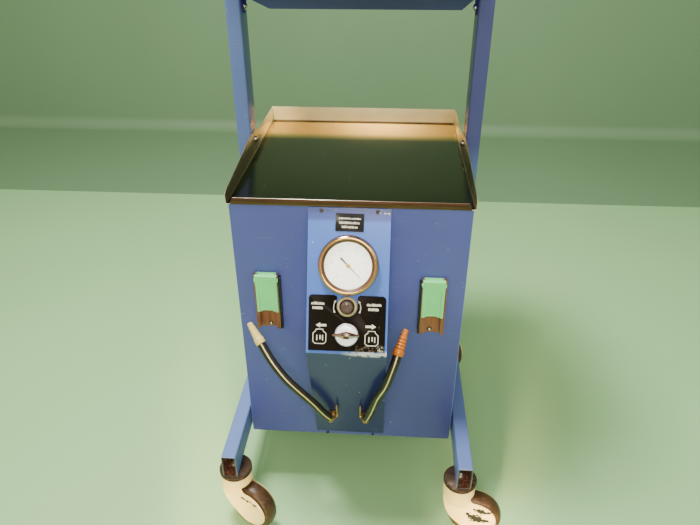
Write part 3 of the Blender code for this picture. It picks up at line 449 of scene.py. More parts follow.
def band(bm, first, second, material=0):
    """Faces between two closed rings of vertices, either of which may be a single point."""
    count, faces = max(len(first), len(second)), []
    for i in range(count):
        j = (i + 1) % count
        corners = [first[i % len(first)], first[j % len(first)],
                   second[j % len(second)], second[i % len(second)]]
        face = bm.faces.new(list(dict.fromkeys(corners)))
        face.material_index = material
        faces.append(face)
    return faces


def prism(name, outline, low, high, axis, materials, place=Matrix()):
    """Outline in the plane across axis (X: y,z; Y: x,z; Z: x,y), extruded from low to high."""
    def corner(u, v, along):
        return {"X": (along, u, v), "Y": (u, along, v), "Z": (u, v, along)}[axis]
    bm = bmesh.new()
    bottom, top = [[bm.verts.new(corner(u, v, along)) for u, v in outline] for along in (low, high)]
    bm.faces.new(bottom)
    bm.faces.new(top)
    band(bm, bottom, top)
    return add_piece(name, bm, materials, place)


def turned(name, profile, materials, place, segments=64, bands=()):
    """Turn a (radius, height) profile about local Z. bands gives a material index for each step."""
    bm = bmesh.new()
    turns = [math.tau * i / segments for i in range(segments)]
    rings = []
    for radius, height in profile:
        spots = [(radius * math.cos(a), radius * math.sin(a), height) for a in turns]
        rings.append([bm.verts.new(spot) for spot in (spots if radius else [(0, 0, height)])])
    pairs = list(zip(rings, rings[1:]))
    if profile[0][0] and profile[-1][0]:
        pairs.append((rings[-1], rings[0]))
    for k, (first, second) in enumerate(pairs):
        band(bm, first, second, bands[k] if k < len(bands) else 0)
    return add_piece(name, bm, materials, place)


def rod(name, radius, low, high, material, place, segments=32, bore=0):
    """Plain cylinder along local Z, or a ring when it has a bore."""
    profile = [(bore, low), (radius, low), (radius, high), (bore, high)]
    return turned(name, profile, material, place, segments)


def arc(centre, radius, start, end, steps):
    """Points on an arc, angles in degrees."""
    turns = [math.radians(start + (end - start) * i / steps) for i in range(steps + 1)]
    return [(centre[0] + radius * math.cos(a), centre[1] + radius * math.sin(a)) for a in turns]


def rounded_box(half_u, half_v, radius, steps):
    points = []
    for su, sv, start in ((1, 1, 0), (-1, 1, 90), (-1, -1, 180), (1, -1, 270)):
        corner = (su * (half_u - radius), sv * (half_v - radius))
        points += arc(corner, radius, start, start + 90, steps)
    return points


def hexagon(radius):
    return arc((0, 0), radius, 0, 300, 5)


def evaluated_mesh(piece):
    """The piece's mesh with its modifiers applied."""
    bpy.context.view_layer.update()
    return bpy.data.meshes.new_from_object(piece.evaluated_get(bpy.context.evaluated_depsgraph_get()))


def apply_modifiers(piece):
    mesh = evaluated_mesh(piece)
    piece.modifiers.clear()
    old, piece.data = piece.data, mesh
    bpy.data.meshes.remove(old)


def join(name, pieces):
    """Several simple pieces as one mesh object, each keeping its materials."""
    bm = bmesh.new()
    names = list(dict.fromkeys(m.name for piece in pieces for m in piece.data.materials))
    for piece in pieces:
        mesh = evaluated_mesh(piece)
        mesh.transform(piece.matrix_world)
        index = [names.index(m.name) for m in mesh.materials]
        for polygon in mesh.polygons:
            polygon.material_index = index[polygon.material_index]
        bm.from_mesh(mesh)
        bpy.data.meshes.remove(mesh)
    for piece in pieces:
        bpy.data.objects.remove(piece)
    made = add_piece(name, bm, [], keep_normals=True)
    for material in names:
        made.data.materials.append(bpy.data.materials[material])
    return made


def apply_booleans(target, cutters=(), unions=()):
    for operation, others in (("UNION", unions), ("DIFFERENCE", cutters)):
        for other in others:
            step = target.modifiers.new(operation.lower(), "BOOLEAN")
            step.operation = operation
            step.solver = "EXACT"
            step.object = other
    apply_modifiers(target)
    for other in (*cutters, *unions):
        bpy.data.objects.remove(other)
    smooth_shade(target.data)
    return target


def put(piece, body, slot, *nodes):
    """The piece rides on a body and stands for CAD nodes; its slot argument is not used."""
    piece.data.transform(piece.matrix_world)
    piece.matrix_world = Matrix()
    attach(piece, body)
    if nodes:
        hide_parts(*nodes)
    return piece


def on_face(distance_down, x=0.0):
    """Placement on the console's sloping face."""
    lean = Matrix.Rotation(math.pi / 2 - FACE_LEAN, 4, "X")
    return Matrix.Translation((x, FRONT_Y, TRAY_Z)) @ lean @ Matrix.Translation((0, -distance_down, 0))


def on_lower_face(x, drop):
    """Placement on the console's lower face, at a drop below the tray's floor."""
    out = KNEE_OUT * (CONSOLE_DROP - drop) / (CONSOLE_DROP - KNEE_DROP)
    place = Matrix.Translation((x, FRONT_Y - out, TRAY_Z - drop))
    return place @ Matrix.Rotation(math.pi / 2 + LOWER_LEAN, 4, "X")


def facing(point, direction):
    """Placement at a point with local Z along a direction."""
    return Matrix.Translation(point) @ Vector(direction).to_track_quat("Z", "Y").to_matrix().to_4x4()


# ---------------------------------------------------------------- camera, light, floor

def make_camera():
    data = bpy.data.cameras.new("camera")
    data.sensor_width = 36.0
    data.lens = 31.37
    camera = add_object("camera", data)
    pan, tilt, roll = [math.radians(angle) for angle in (3.857, 59.611, -0.111)]
    turn = Matrix.Rotation(pan, 4, "Z") @ Matrix.Rotation(tilt, 4, "X") @ Matrix.Rotation(roll, 4, "Z")
    camera.matrix_world = Matrix.Translation((0.0589, FRONT_Y - 0.8706, TRAY_Z + 0.4087)) @ turn
    bpy.context.scene.camera = camera


def area_light(name, place, target, size, power, colour, spread=180):
    data = bpy.data.lights.new(name, "AREA")
    data.shape = "DISK"
    data.size = size
    data.energy = power
    data.color = colour
    data.spread = math.radians(spread)
    add_object(name, data).matrix_world = facing(place, Vector(place) - Vector(target))


def make_stage():
    """Floor, a darker strip of it behind the object, and a wall with a rounded foot."""
    for name, colour in (("stage_floor", (0.33, 0.61, 0.29)), ("stage_wall", (0.165, 0.30, 0.165))):
        Finish(name, colour, 0.55, mottle=0.02, mottle_scale=2.0, bump=0.0).keep()
    half, dark_from, back, bend, top = 4.0, 1.25, 2.1, 0.06, 3.2
    profile = [(-half, 0.0), (dark_from, 0.0)] + arc((back - bend, bend), bend, -90, 0, 10) + [(back, top)]
    bm = bmesh.new()
    rows = [[bm.verts.new((x, y, z)) for y, z in profile] for x in (-half, half)]
    for i in range(len(profile) - 1):
        face = bm.faces.new((rows[0][i], rows[1][i], rows[1][i + 1], rows[0][i + 1]))
        face.material_index = 0 if i == 0 else 1
    add_piece("stage", bm, ["stage_floor", "stage_wall"])


def make_lights():
    """Warm key and front lights, a weak cool one from the side and a narrow one low at each caster."""
    area_light("key", (-0.45, -0.10, 2.40), (0, 0.0, 0.4), 0.50, 88, (1.0, 0.95, 0.86))
    area_light("front", (0.1, -2.0, 1.75), (0, 0, 0.60), 1.0, 33, (1.0, 0.87, 0.70))
    for side, sign in SIDES:
        area_light("low_" + side, (0.12 * sign, -0.85, 0.15), (0.262 * sign, -0.30, 0.040), 0.15, 0.42,
                   (1.0, 0.70, 0.40), 18)
    area_light("side", (1.7, -0.6, 1.6), (0, 0, 0.4), 1.2, 5, (0.95, 0.97, 1.0))


def make_world():
    """Soft room light: warm in front of the object, cooler and dimmer behind it."""
    world = bpy.data.worlds.new("world")
    bpy.context.scene.world = world
    world.use_nodes = True
    tree = world.node_tree
    split = add_node(tree, "SeparateXYZ", {"Vector": add_node(tree, "TexCoord", {}).outputs["Generated"]})
    along = add_node(tree, "MapRange", {"Value": split.outputs["Y"], "From Min": -0.8, "From Max": 0.6})
    ramp = add_node(tree, "ValToRGB", {"Fac": along.outputs["Result"]})
    ramp.color_ramp.elements[0].color = (1.0, 0.88, 0.72, 1)
    ramp.color_ramp.elements[1].color = (0.34, 0.42, 0.33, 1)
    fill(tree.nodes["Background"], {"Color": ramp.outputs["Color"], "Strength": 0.70})


# ---------------------------------------------------------------- frame

def make_tube(node, axis):
    """Welded rectangular tube with rounded corners, open at both ends and rusty inside."""
    low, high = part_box(node)
    k = "XYZ".index(axis)
    u, v = [i for i in range(3) if i != k]
    centre, half = (low + high) / 2, (high - low) / 2
    wall, corner, inner_corner, chamfer = 0.0025, 0.0030, 0.0012, 0.0004
    outer = rounded_box(half[u], half[v], corner, 5)
    inner = rounded_box(half[u] - wall, half[v] - wall, inner_corner, 5)
    shrunk = rounded_box(half[u] - chamfer, half[v] - chamfer, corner - chamfer, 5)
    bm = bmesh.new()
    rings = []
    for outline, along in ((inner, low[k]), (shrunk, low[k]), (outer, low[k] + chamfer),
                           (outer, high[k] - chamfer), (shrunk, high[k]), (inner, high[k])):
        ring = []
        for across, up in outline:
            point = [0, 0, 0]
            point[k], point[u], point[v] = along, centre[u] + across, centre[v] + up
            ring.append(bm.verts.new(point))
        rings.append(ring)
    for first, second, material in zip(rings, rings[1:] + rings[:1], (3, 1, 0, 1, 3, 2)):
        band(bm, first, second, material)
    tube = add_piece(node + "_tube", bm, ["frame_paint", "frame_edge_wear_and_highlight", "tube_rust", "tube_lip"])
    put(tube, "trolley", "frame_paint", node)


def make_frame():
    for side, _ in SIDES:
        make_tube("base_rail_" + side, "Y")
        make_tube("upright_" + side, "Z")
        low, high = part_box("upright_cap_" + side)
        outline = rounded_box((high.x - low.x) / 2, (high.y - low.y) / 2, 0.003, 5)
        middle = Matrix.Translation(((low.x + high.x) / 2, (low.y + high.y) / 2, 0))
        cap = prism(f"upright_cap_{side}_moulding", outline, high.z - 0.004, high.z, "Z", "black_plastic",
                    middle)
        put(bevel(cap, 0.0012, 3), "trolley", "black_plastic", "upright_cap_" + side)
    make_tube("rear_cross_tube", "X")
    for side, _ in SIDES:
        make_weld(side)


def make_weld(side):
    """Fillet weld where an upright stands on its rail: a low bead of overlapping ripples."""
    low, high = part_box("upright_" + side)
    ripples, radius, rise, inset = 9, 0.0021, 0.0008, 0.002
    bm = bmesh.new()
    for y in (low.y, high.y):
        for i in range(ripples):
            x = low.x + inset + (high.x - low.x - 2 * inset) * i / (ripples - 1)
            spot = Matrix.Translation((x, y, low.z + rise))
            bmesh.ops.create_icosphere(bm, subdivisions=2, radius=radius, matrix=spot)
    put(add_piece("foot_weld_" + side, bm, "frame_paint"), "trolley", "frame_paint")


# ---------------------------------------------------------------- casters

CASTERS = {"front_left": 62.5, "front_right": 77.5, "rear_left": -77.5, "rear_right": 30.0}
TRAIL, WHEEL_R, WHEEL_HALF, HOOD_HALF, AXLE_R = 0.033, 0.0495, 0.015, 0.0195, 0.005
CHIPS = {
    "front_left": [((0.0270, -HOOD_HALF, 0.0800), 0.0052, (1, 1, 1.6)),
                   ((0.0375, -HOOD_HALF, 0.0785), 0.0035, (1, 1, 1)),
                   ((0.0545, -HOOD_HALF, 0.0775), 0.0042, (1, 1, 1.5)),
                   ((0.0460, -HOOD_HALF, 0.0810), 0.0018, (1, 1, 1))],
    "front_right": [((0.0390, -HOOD_HALF, 0.0565), 0.0150, (1, 1, 1.7)),
                    ((0.0230, -HOOD_HALF, 0.0630), 0.0060, (1, 1, 1.2)),
                    ((0.0555, -HOOD_HALF, 0.0560), 0.0065, (0.7, 1, 1.6)),
                    ((0.0470, -HOOD_HALF, 0.0785), 0.0105, (0.6, 1, 2.2))],
    "rear_left": [((0.050, HOOD_HALF, 0.045), 0.0060, (1, 1, 1.5))],
    "rear_right": [((0.030, HOOD_HALF, 0.060), 0.0070, (1.4, 1, 1))],
}


def hood_outline():
    """Side view of a hood: along the trail, height."""
    cheek = arc((0.0358, 0.0535), 0.0385, 100, -104, 40)
    back = [(0.0160, 0.0213), (0.0040, 0.0304), (-0.0045, 0.0370), (-0.0112, 0.0438), (-0.0160, 0.0512),
            (-0.0196, 0.0590), (-0.0223, 0.0672), (-0.0242, 0.0760), (-0.0258, 0.0870)]
    return cheek + back + [(-0.0275, 0.0960), (0.0, 0.1000), (0.020, 0.1020)]


def make_caster(corner, trail_degrees):
    low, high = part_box("caster_collar_" + corner)
    rail_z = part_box("base_rail_left")[0].z
    collar_low = rail_z - GAP - 0.0107
    stand = Matrix.Translation(((low.x + high.x) / 2, (low.y + high.y) / 2, 0))
    make_collar(corner, stand, collar_low, rail_z)
    swivel = stand @ Matrix.Rotation(math.radians(trail_degrees - 90), 4, "Z")
    axle = swivel @ Matrix.Translation((TRAIL, 0, WHEEL_R)) @ Matrix.Rotation(math.pi / 2, 4, "X")
    make_hood(corner, swivel, axle, collar_low - GAP)
    make_wheel(corner, axle)


def make_collar(corner, stand, base, rail_z):
    """Pressed collar with a groove round it, its kingpin below, a nut and a stem's end above."""
    top, floor_z, radius, groove = rail_z - GAP, rail_z + 0.0028, 0.0300, 0.0294
    profile = [(0, base - 0.012), (0.0075, base - 0.012), (0.0075, base), (0.0275, base),
               (0.0292, base + 0.0006), (radius, base + 0.0022), (radius, base + 0.0050),
               (groove, base + 0.0056), (groove, base + 0.0064), (radius, base + 0.0070),
               (radius, top - 0.0022), (0.0290, top - 0.0006), (0.0275, top), (0.0058, top),
               (0.0058, floor_z), (0, floor_z)]
    ring = turned("collar_ring", profile, "caster_steel", stand)
    nut = prism("collar_nut", hexagon(0.0078), floor_z, floor_z + 0.0062, "Z", "zinc_steel", stand)
    bevel(nut, 0.0006, 2)
    stem = turned("collar_stem", [(0, floor_z), (0.0050, floor_z), (0.0050, floor_z + 0.0105),
                                  (0.0042, floor_z + 0.0115), (0, floor_z + 0.0115)], "zinc_steel", stand, 32)
    put(join(f"caster_collar_{corner}_pressing", [ring, nut, stem]), "trolley", "caster_steel",
        "caster_collar_" + corner)


def make_hood(corner, swivel, axle, top):
    """Cast hood round the wheel's upper back, with the axle in it."""
    paint = "hood_" + corner
    caster_paint(paint, CHIPS[corner], swivel)
    hood = prism("hood_side", hood_outline(), -HOOD_HALF, HOOD_HALF, "Y", paint, swivel)
    bevel(hood, 0.0042, 4, angle=60)
    neck = turned("hood_neck", [(0, 0.080), (0.0245, 0.080), (0.0268, 0.085), (0.0282, 0.091),
                                (0.0290, 0.098), (0.0292, top - 0.0015), (0.0280, top), (0, top)],
                  paint, swivel)
    shell = apply_booleans(hood, unions=[neck])
    soften(shell)
    room = WHEEL_HALF + 0.0014
    slot = rod("hood_slot", WHEEL_R + 0.0042, -room, room, "caster_steel", axle, 96)
    socket = rod("hood_socket", 0.0083, top - 0.014, top + 0.01, "caster_steel", swivel)
    apply_booleans(shell, cutters=[slot, socket])
    pin = rod("hood_axle", AXLE_R, -HOOD_HALF + 0.001, HOOD_HALF - 0.001, "zinc_steel", axle)
    put(join(f"caster_hood_{corner}_casting", [shell, pin]), "swivel_" + corner, "caster_paint",
        "caster_hood_" + corner)


def make_wheel(corner, axle):
    """Wheel with a rounded tyre: the profile of one side, mirrored."""
    half, bore = WHEEL_HALF, AXLE_R + GAP
    side = [(bore, half - 0.0015), (0.0090, half - 0.0015), (0.0095, half - 0.0040), (0.0300, half - 0.0045),
            (0.0312, half - 0.0006), (0.0322, half), (0.0425, half - 0.0004), (0.0452, half - 0.0016),
            (0.0473, half - 0.0042), (0.0486, half - 0.0078), (0.0493, half - 0.0115), (WHEEL_R, 0.0)]
    profile = [(r, -z) for r, z in side] + [(r, z) for r, z in reversed(side[:-1])]
    wheel = turned(f"caster_wheel_{corner}_tyre", profile, ["caster_tyre", "cast_aluminium"], axle, 96,
                   [1] * 3 + [0] * 16 + [1] * 4)
    put(wheel, "wheel_" + corner, "caster_tyre", "caster_wheel_" + corner)


def soften(piece):
    """Voxel remesh and smooth, so that the neck flows into the cheeks as in a casting."""
    remesh = piece.modifiers.new("remesh", "REMESH")
    remesh.mode = "VOXEL"
    remesh.voxel_size = 0.0016
    smooth = piece.modifiers.new("smooth", "SMOOTH")
    smooth.factor = 0.5
    smooth.iterations = 8
    paint = piece.data.materials[0]
    apply_modifiers(piece)
    piece.data.materials.clear()
    piece.data.materials.append(paint)
    piece.data.shade_smooth()


# ---------------------------------------------------------------- cabinet

def make_cabinet():
    low, high = CABINET_LOW, CABINET_HIGH
    shell = block("cabinet_shell_pressing", low, high, "cabinet_paint")
    inside = block("cabinet_inside", low + Vector((SHEET,) * 3), high + Vector((-SHEET, 0.01, -SHEET)),
                   "cabinet_paint")
    console_hole = block("console_hole", (-0.055, low.y - 0.01, TRAY_Z - 0.470),
                         (0.055, low.y + 0.01, TRAY_Z - 0.030), "cabinet_paint")
    apply_booleans(shell, cutters=[inside, console_hole])
    put(bevel(shell, 0.0015, 3, "cabinet_edge_wear_and_highlight"), "trolley", "cabinet_paint", "cabinet_shell")
    make_back_panel()
    chip = turned("paint_chip", [(0, 0), (0.0013, 0), (0.0009, 0.0003), (0, 0.0003)], "bolt_steel",
                  facing((0.0787, FRONT_Y - GAP, TRAY_Z - 0.4602), (0, -1, 0)), 12)
    put(chip, "trolley", "cabinet_paint")


def screw(name, place, radius, body, slot, material="screw_dark"):
    """Pan-head screw with a cross recess, head up along local Z."""
    head = turned(name, [(0, 0), (radius, 0), (radius, radius * 0.18), (radius * 0.86, radius * 0.42),
                         (radius * 0.5, radius * 0.60), (0, radius * 0.64)], material, place, 32)
    arm, wide = radius * 0.62, radius * 0.15
    bars = [block("bar", (-arm, -wide, radius * 0.30), (arm, wide, radius), material,
                  place @ Matrix.Rotation(math.radians(turn), 4, "Z")) for turn in (25, 115)]
    return put(apply_booleans(head, cutters=bars), body, slot)


def make_back_panel():
    """Panel with two columns of louvres, holes for the inlet and the switch, and six screws."""
    low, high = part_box("back_panel")
    panel = block("back_panel_pressing", low, high, "cabinet_paint")
    rows, pitch, first, half = 7, 0.026, low.z + 0.250, 0.045
    section = [(0.0, 0.0115), (0.0030, 0.0080), (0.0048, 0.0030), (0.0050, 0.0005), (0.0040, 0.0005),
               (0.0038, 0.0028), (0.0022, 0.0072), (0.0, 0.0100)]

    def opening(x0, x1, z0, z1):
        return block("opening", (x0, low.y - 0.01, z0), (x1, high.y + 0.01, z1), "cabinet_paint")
    cutters, hoods = [], []
    for x in (-0.085, 0.085):
        for base in [first + row * pitch for row in range(rows)]:
            cutters.append(opening(x - half, x + half, base, base + 0.007))
            outline = [(high.y + out, base + up) for out, up in section]
            hoods.append(prism("louvre", outline, x - half + 0.001, x + half - 0.001, "X", "cabinet_paint"))
    for x0, x1 in ((0.0735, 0.1065), (0.1255, 0.1445)):
        cutters.append(opening(x0, x1, low.z + 0.0535, low.z + 0.0785))
    apply_booleans(panel, cutters=cutters)
    bevel(panel, 0.0004, 1)
    put(join("back_panel_with_louvres", [panel] + hoods), "trolley", "cabinet_paint", "back_panel")
    spots = [(x, high.y, low.z + up) for x in (-0.182, 0.182) for up in (0.016, 0.250, 0.480)]
    for n, spot in enumerate(spots):
        screw(f"back_screw_{n}", facing(spot, (0, 1, 0)), 0.0036, "trolley", "cabinet_paint")
    make_inlet(high.y, low.z + 0.066)
    make_switch(high.y, low.z + 0.066)


def on_back(x, panel, z):
    """Placement on the back panel: X toward the object's left, Y up, Z out of it."""
    turn = Matrix.Rotation(-math.pi / 2, 4, "X") @ Matrix.Rotation(math.pi, 4, "Z")
    return Matrix.Translation((x, panel, z)) @ turn


def make_inlet(panel, z):
    """Three-pin appliance inlet with its two screws."""
    black, x, half = "black_plastic", 0.090, 0.0185
    place = on_back(x, panel, z)
    flange = prism("inlet_flange", rounded_box(0.022, 0.0155, 0.004, 5), GAP, 0.003, "Z", black, place)
    body = block("inlet_body", (-0.016, -0.012, -0.0218), (0.016, 0.012, 0.001), black, place)
    socket = [(-0.013, -0.009), (0.013, -0.009), (0.013, 0.005), (0.009, 0.009), (-0.009, 0.009),
              (-0.013, 0.005)]
    hollow = prism("inlet_hollow", socket, -0.0165, 0.02, "Z", black, place)
    apply_booleans(flange, unions=[body], cutters=[hollow])
    pieces = [bevel(flange, 0.0005, 2)]
    for u, v in ((-0.007, -0.002), (0.0, 0.003), (0.007, -0.002)):
        pin = block("pin", (u - 0.001, v - 0.0025, -0.0178), (u + 0.001, v + 0.0025, -0.003), "chrome", place)
        pieces.append(bevel(pin, 0.0004, 2))
    put(join("mains_inlet_moulding", pieces), "trolley", black, "mains_inlet")
    for i, screw_x in enumerate((x - half, x + half)):
        screw(f"inlet_screw_{i}", facing((screw_x, panel + 0.003, z), (0, 1, 0)), 0.0022, "trolley", black)


def make_switch(panel, z):
    """Rocker switch: a frame with a well, and the rocker with its two marks."""
    black, x = "black_plastic", 0.135
    place = on_back(x, panel, z)
    surround = prism("power_switch_frame_moulding", rounded_box(0.012, 0.0155, 0.002, 4), GAP, 0.003, "Z",
                     black, place)
    body = block("switch_body", (-0.009, -0.012, -0.0198), (0.009, 0.012, 0.001), black, place)
    well = block("switch_well", (-0.007, -0.0105, -0.0143), (0.007, 0.0105, 0.02), black, place)
    apply_booleans(surround, unions=[body], cutters=[well])
    put(bevel(surround, 0.0005, 2), "trolley", black, "power_switch_frame")
    tip = Matrix.Translation((x, panel - 0.002, z)) @ Matrix.Rotation(math.radians(-10), 4, "X")
    face = [(0.0042, -0.0090), (0.0050, -0.0050), (0.0058, -0.0015), (0.0058, 0.0015), (0.0050, 0.0050),
            (0.0042, 0.0090), (-0.0030, 0.0085), (-0.0055, 0.0), (-0.0030, -0.0085)]
    rocker = bevel(prism("rocker", face, -0.0066, 0.0066, "X", black, tip), 0.0005, 2)
    dash = block("rocker_on", (-0.0004, 0.00515, 0.0032), (0.0004, 0.00545, 0.0068), "print_white", tip)
    below = tip @ Matrix.Translation((0, 0.0049, -0.0052)) @ Matrix.Rotation(-math.pi / 2, 4, "X")
    zero = rod("rocker_off", 0.0019, 0, 0.0003, "print_white", below, 24, bore=0.0014)
    put(join("power_rocker_moulding", [rocker, dash, zero]), "rocker", black, "power_rocker")


# ---------------------------------------------------------------- console

def make_console():
    knee_y, knee_z = FRONT_Y - KNEE_OUT, TRAY_Z - KNEE_DROP
    top_z, back = TRAY_Z - 0.003, FRONT_Y - GAP
    outside = [(back, top_z), (FRONT_Y - 0.003 * math.tan(FACE_LEAN), top_z), (knee_y, knee_z),
               (back, TRAY_Z - CONSOLE_DROP + 0.001)]
    housing = prism("console_housing_pressing", outside, -CONSOLE_X, CONSOLE_X, "X", "console_paint")
    inner_y = knee_y + SHEET / math.cos(FACE_LEAN)
    deep, start_z = FRONT_Y + 0.01, top_z - 0.006
    inside = [(deep, start_z), (inner_y + (start_z - knee_z) * math.tan(FACE_LEAN), start_z),
              (inner_y, knee_z), (deep, knee_z - (deep - inner_y) / math.tan(LOWER_LEAN))]
    cutters = [prism("hollow", inside, -CONSOLE_X + SHEET, CONSOLE_X - SHEET, "X", "console_paint")]
    holes = [(on_face(GAUGE_S), 0.0426), (on_face(REGULATOR_S), 0.0045), (on_face(SELECTOR_S), 0.0050)]
    holes += [(on_lower_face(sign * OUTLET_X, OUTLET_DROP), 0.0048) for _, sign in SIDES]
    for place, radius in holes:
        cutters.append(rod("hole", radius, -0.012, 0.012, "console_paint", place, 64))
    apply_booleans(housing, cutters=cutters)
    put(bevel(housing, 0.0013, 3, "console_edge_wear_and_highlight", 15), "trolley", "console_paint", "console_housing")
    for i, x in enumerate((-0.0446, 0.0446)):
        screw(f"console_top_screw_{i}", on_face(0.0085, x), 0.0030, "trolley", "console_paint")
        foot = facing((x, FRONT_Y - GAP, TRAY_Z - 0.4950), (0, -1, 0))
        screw(f"console_foot_screw_{i}", foot, 0.0028, "trolley", "cabinet_paint")
    chips = [(0.0438, 0.0104, 0.0012), (0.0482, 0.0102, 0.0012), (0.0552, 0.0102, 0.0012),
             (0.0578, 0.0103, 0.0011), (0.0622, 0.0106, 0.0018)]
    for i, (x, s, r) in enumerate(chips):
        chip = turned(f"console_paint_chip_{i}", [(0, 0), (r, 0), (r * 0.6, 0.0002), (0, 0.0002)],
                      "print_white", on_face(s, x) @ Matrix.Translation((0, 0, GAP / 3)), 10)
        put(chip, "trolley", "console_paint")
    make_label()
    make_plate()
    make_gauge()
    make_regulator()
    make_selector()


def dashes(place, width, height, seed, gap):
    """A row of short unequal bars, which stands in for a line of small print."""
    draw = random.Random(seed)
    x, made = -width / 2, []
    while x < width / 2 - 0.0012:
        long = min(draw.uniform(0.0009, 0.0021), width / 2 - x)
        top = height / 2 * draw.choice((1.0, 1.0, 0.6))
        made.append(block("dash", (x, -height / 2, 0), (x + long, top, 0.00012), "print_white", place))
        x += long + gap * draw.choice((1, 1, 1, 2.2))
    return made


def make_label():
    place = on_face(0.0259) @ Matrix.Rotation(math.radians(-0.8), 4, "Z") @ Matrix.Translation((0.0007, 0, 0))
    top = 0.0009
    label = prism("label_plate_sheet", rounded_box(0.0225, 0.0143, 0.0006, 2), 0.0001, top, "Z",
                  "label_black", place)
    pieces = [bevel(label, 0.0002, 2)]
    for up, width, height in ((0.0062, 0.0350, 0.0026), (-0.0006, 0.0325, 0.0034), (-0.0072, 0.0250, 0.0034)):
        line = place @ Matrix.Translation((0, up, top))
        pieces += dashes(line, width, height, int(width * 1e4), 0.0005)
    put(join("label_plate", pieces), "trolley", "black_plate")


def plate_outline():
    top = (PLATE_END_S - PLATE_TOP_S) / 2
    ring = (PLATE_END_S + PLATE_TOP_S) / 2 - REGULATOR_S
    notch = RING_R + 0.0006
    notch_top = notch - 0.0004
    corner, inner = 0.006, 0.005
    outline = [(-PLATE_HALF, -top), (PLATE_HALF, -top)]
    outline += arc((PLATE_HALF - corner, top - corner), corner, 0, 90, 10)
    outline += arc((notch_top + inner, top - inner), inner, 90, 180, 10)
    outline += [(notch_top, ring + 0.004)]
    outline += arc((0, ring), notch, -5, -175, 36)
    outline += [(-notch_top, ring + 0.004)]
    outline += arc((-notch_top - inner, top - inner), inner, 0, 90, 10)
    return outline + arc((-PLATE_HALF + corner, top - corner), corner, 90, 180, 10)


def stroke(name, points, width, place, closed=False):
    """Flat printed line through points."""
    count = len(points)
    left, right = [], []
    for i, (x, y) in enumerate(points):
        before = points[i - 1] if i or closed else points[i]
        after = points[(i + 1) % count] if i < count - 1 or closed else points[i]
        along = Vector((after[0] - before[0], after[1] - before[1])).normalized()
        side = Vector((-along.y, along.x)) * width / 2
        left.append((x + side.x, y + side.y))
        right.append((x - side.x, y - side.y))
    bm = bmesh.new()
    rows = [[bm.verts.new((u, v, z)) for u, v in line] for line, z in
            ((left, PRINT_T), (right, PRINT_T), (right, 0), (left, 0))]
    spans = count if closed else count - 1
    for i in range(spans):
        j = (i + 1) % count
        for k in range(4):
            m = (k + 1) % 4
            bm.faces.new((rows[k][i], rows[k][j], rows[m][j], rows[m][i]))
    if not closed:
        bm.faces.new([row[0] for row in rows])
        bm.faces.new([row[-1] for row in rows])
    return add_piece(name, bm, "print_white", place)


def make_plate():
    """Control plate with its print: words, a turning arc, arrows and two jars."""
    middle, white, prints = (PLATE_END_S + PLATE_TOP_S) / 2, "print_white", []
    plate = prism("plate_sheet", plate_outline(), GAP, GAP + PLATE_T, "Z", "black_plate", on_face(middle))
    bevel(plate, 0.0003, 2)

    def at(s, x):
        return on_face(s, x) @ Matrix.Translation((0, 0, GAP + PLATE_T))

    def flat(name, outline, place):
        prints.append(prism(name, outline, 0, PRINT_T, "Z", white, place))
    for k, (x, rows) in enumerate(((-0.0470, (0.0215, 0.0180)), (0.0429, (0.0228, 0.0180)))):
        for j, (s, width) in enumerate(zip((0.1566, 0.1640), rows)):
            prints += dashes(at(s, x), width, 0.0042, 11 * k + j + 3, 0.0004)
    for _, sign in SIDES:
        bow = [(sign * x, y - 0.002) for x, y in arc((0, 0), 0.0218, 35, -22, 16)]
        prints.append(stroke("turn_line", bow[2:], 0.0011, at(REGULATOR_S, 0)))
        tip, tail, end = Vector(bow[0]), Vector(bow[3]), Vector(bow[-1])
        ahead = (tip - tail).normalized()
        side, foot = Vector((-ahead.y, ahead.x)) * 0.0019, tip - ahead * 0.0046
        flat("turn_head", [tuple(tip), tuple(foot + side), tuple(foot - side)], at(REGULATOR_S, 0))
        back_side = Vector((-1, 0.3)).normalized() * 0.0014
        flat("turn_tail", [tuple(end + back_side), tuple(end - back_side), (end.x, end.y + 0.004)],
             at(REGULATOR_S, 0))
    arrow = [(0.0088, 0), (0.0018, 0.0042), (0.0018, 0.0018), (-0.0082, 0.0018), (-0.0082, -0.0018),
             (0.0018, -0.0018), (0.0018, -0.0042)]
    for sign, x in ((-1, -0.0411), (1, 0.0385)):
        flat("flow_arrow", [(sign * u, v) for u, v in arrow], at(0.1921, x))
    jar = [(-0.0058, 0.0120), (0.0058, 0.0120), (0.0058, 0.0092), (0.0105, 0.0052), (0.0105, -0.0085),
           (0.0070, -0.0118), (-0.0070, -0.0118), (-0.0105, -0.0085), (-0.0105, 0.0052), (-0.0058, 0.0092)]
    for x, s in ((-0.0438, 0.2108), (0.0404, 0.2115)):
        prints.append(stroke("jar_outline", jar, 0.0012, at(s, x), closed=True))
        for u, v, high in ((-0.0042, -0.0010, 0.0090), (0.0010, 0.0, 0.0070), (0.0052, -0.0010, 0.0090)):
            prints.append(block("jar_level", (u - 0.0008, v - high / 2, 0),
                                (u + 0.0008, v + high / 2, PRINT_T), white, at(s + 0.001, x)))
    put(join("control_plate_printed", [plate] + prints), "trolley", "black_plate", "control_plate")


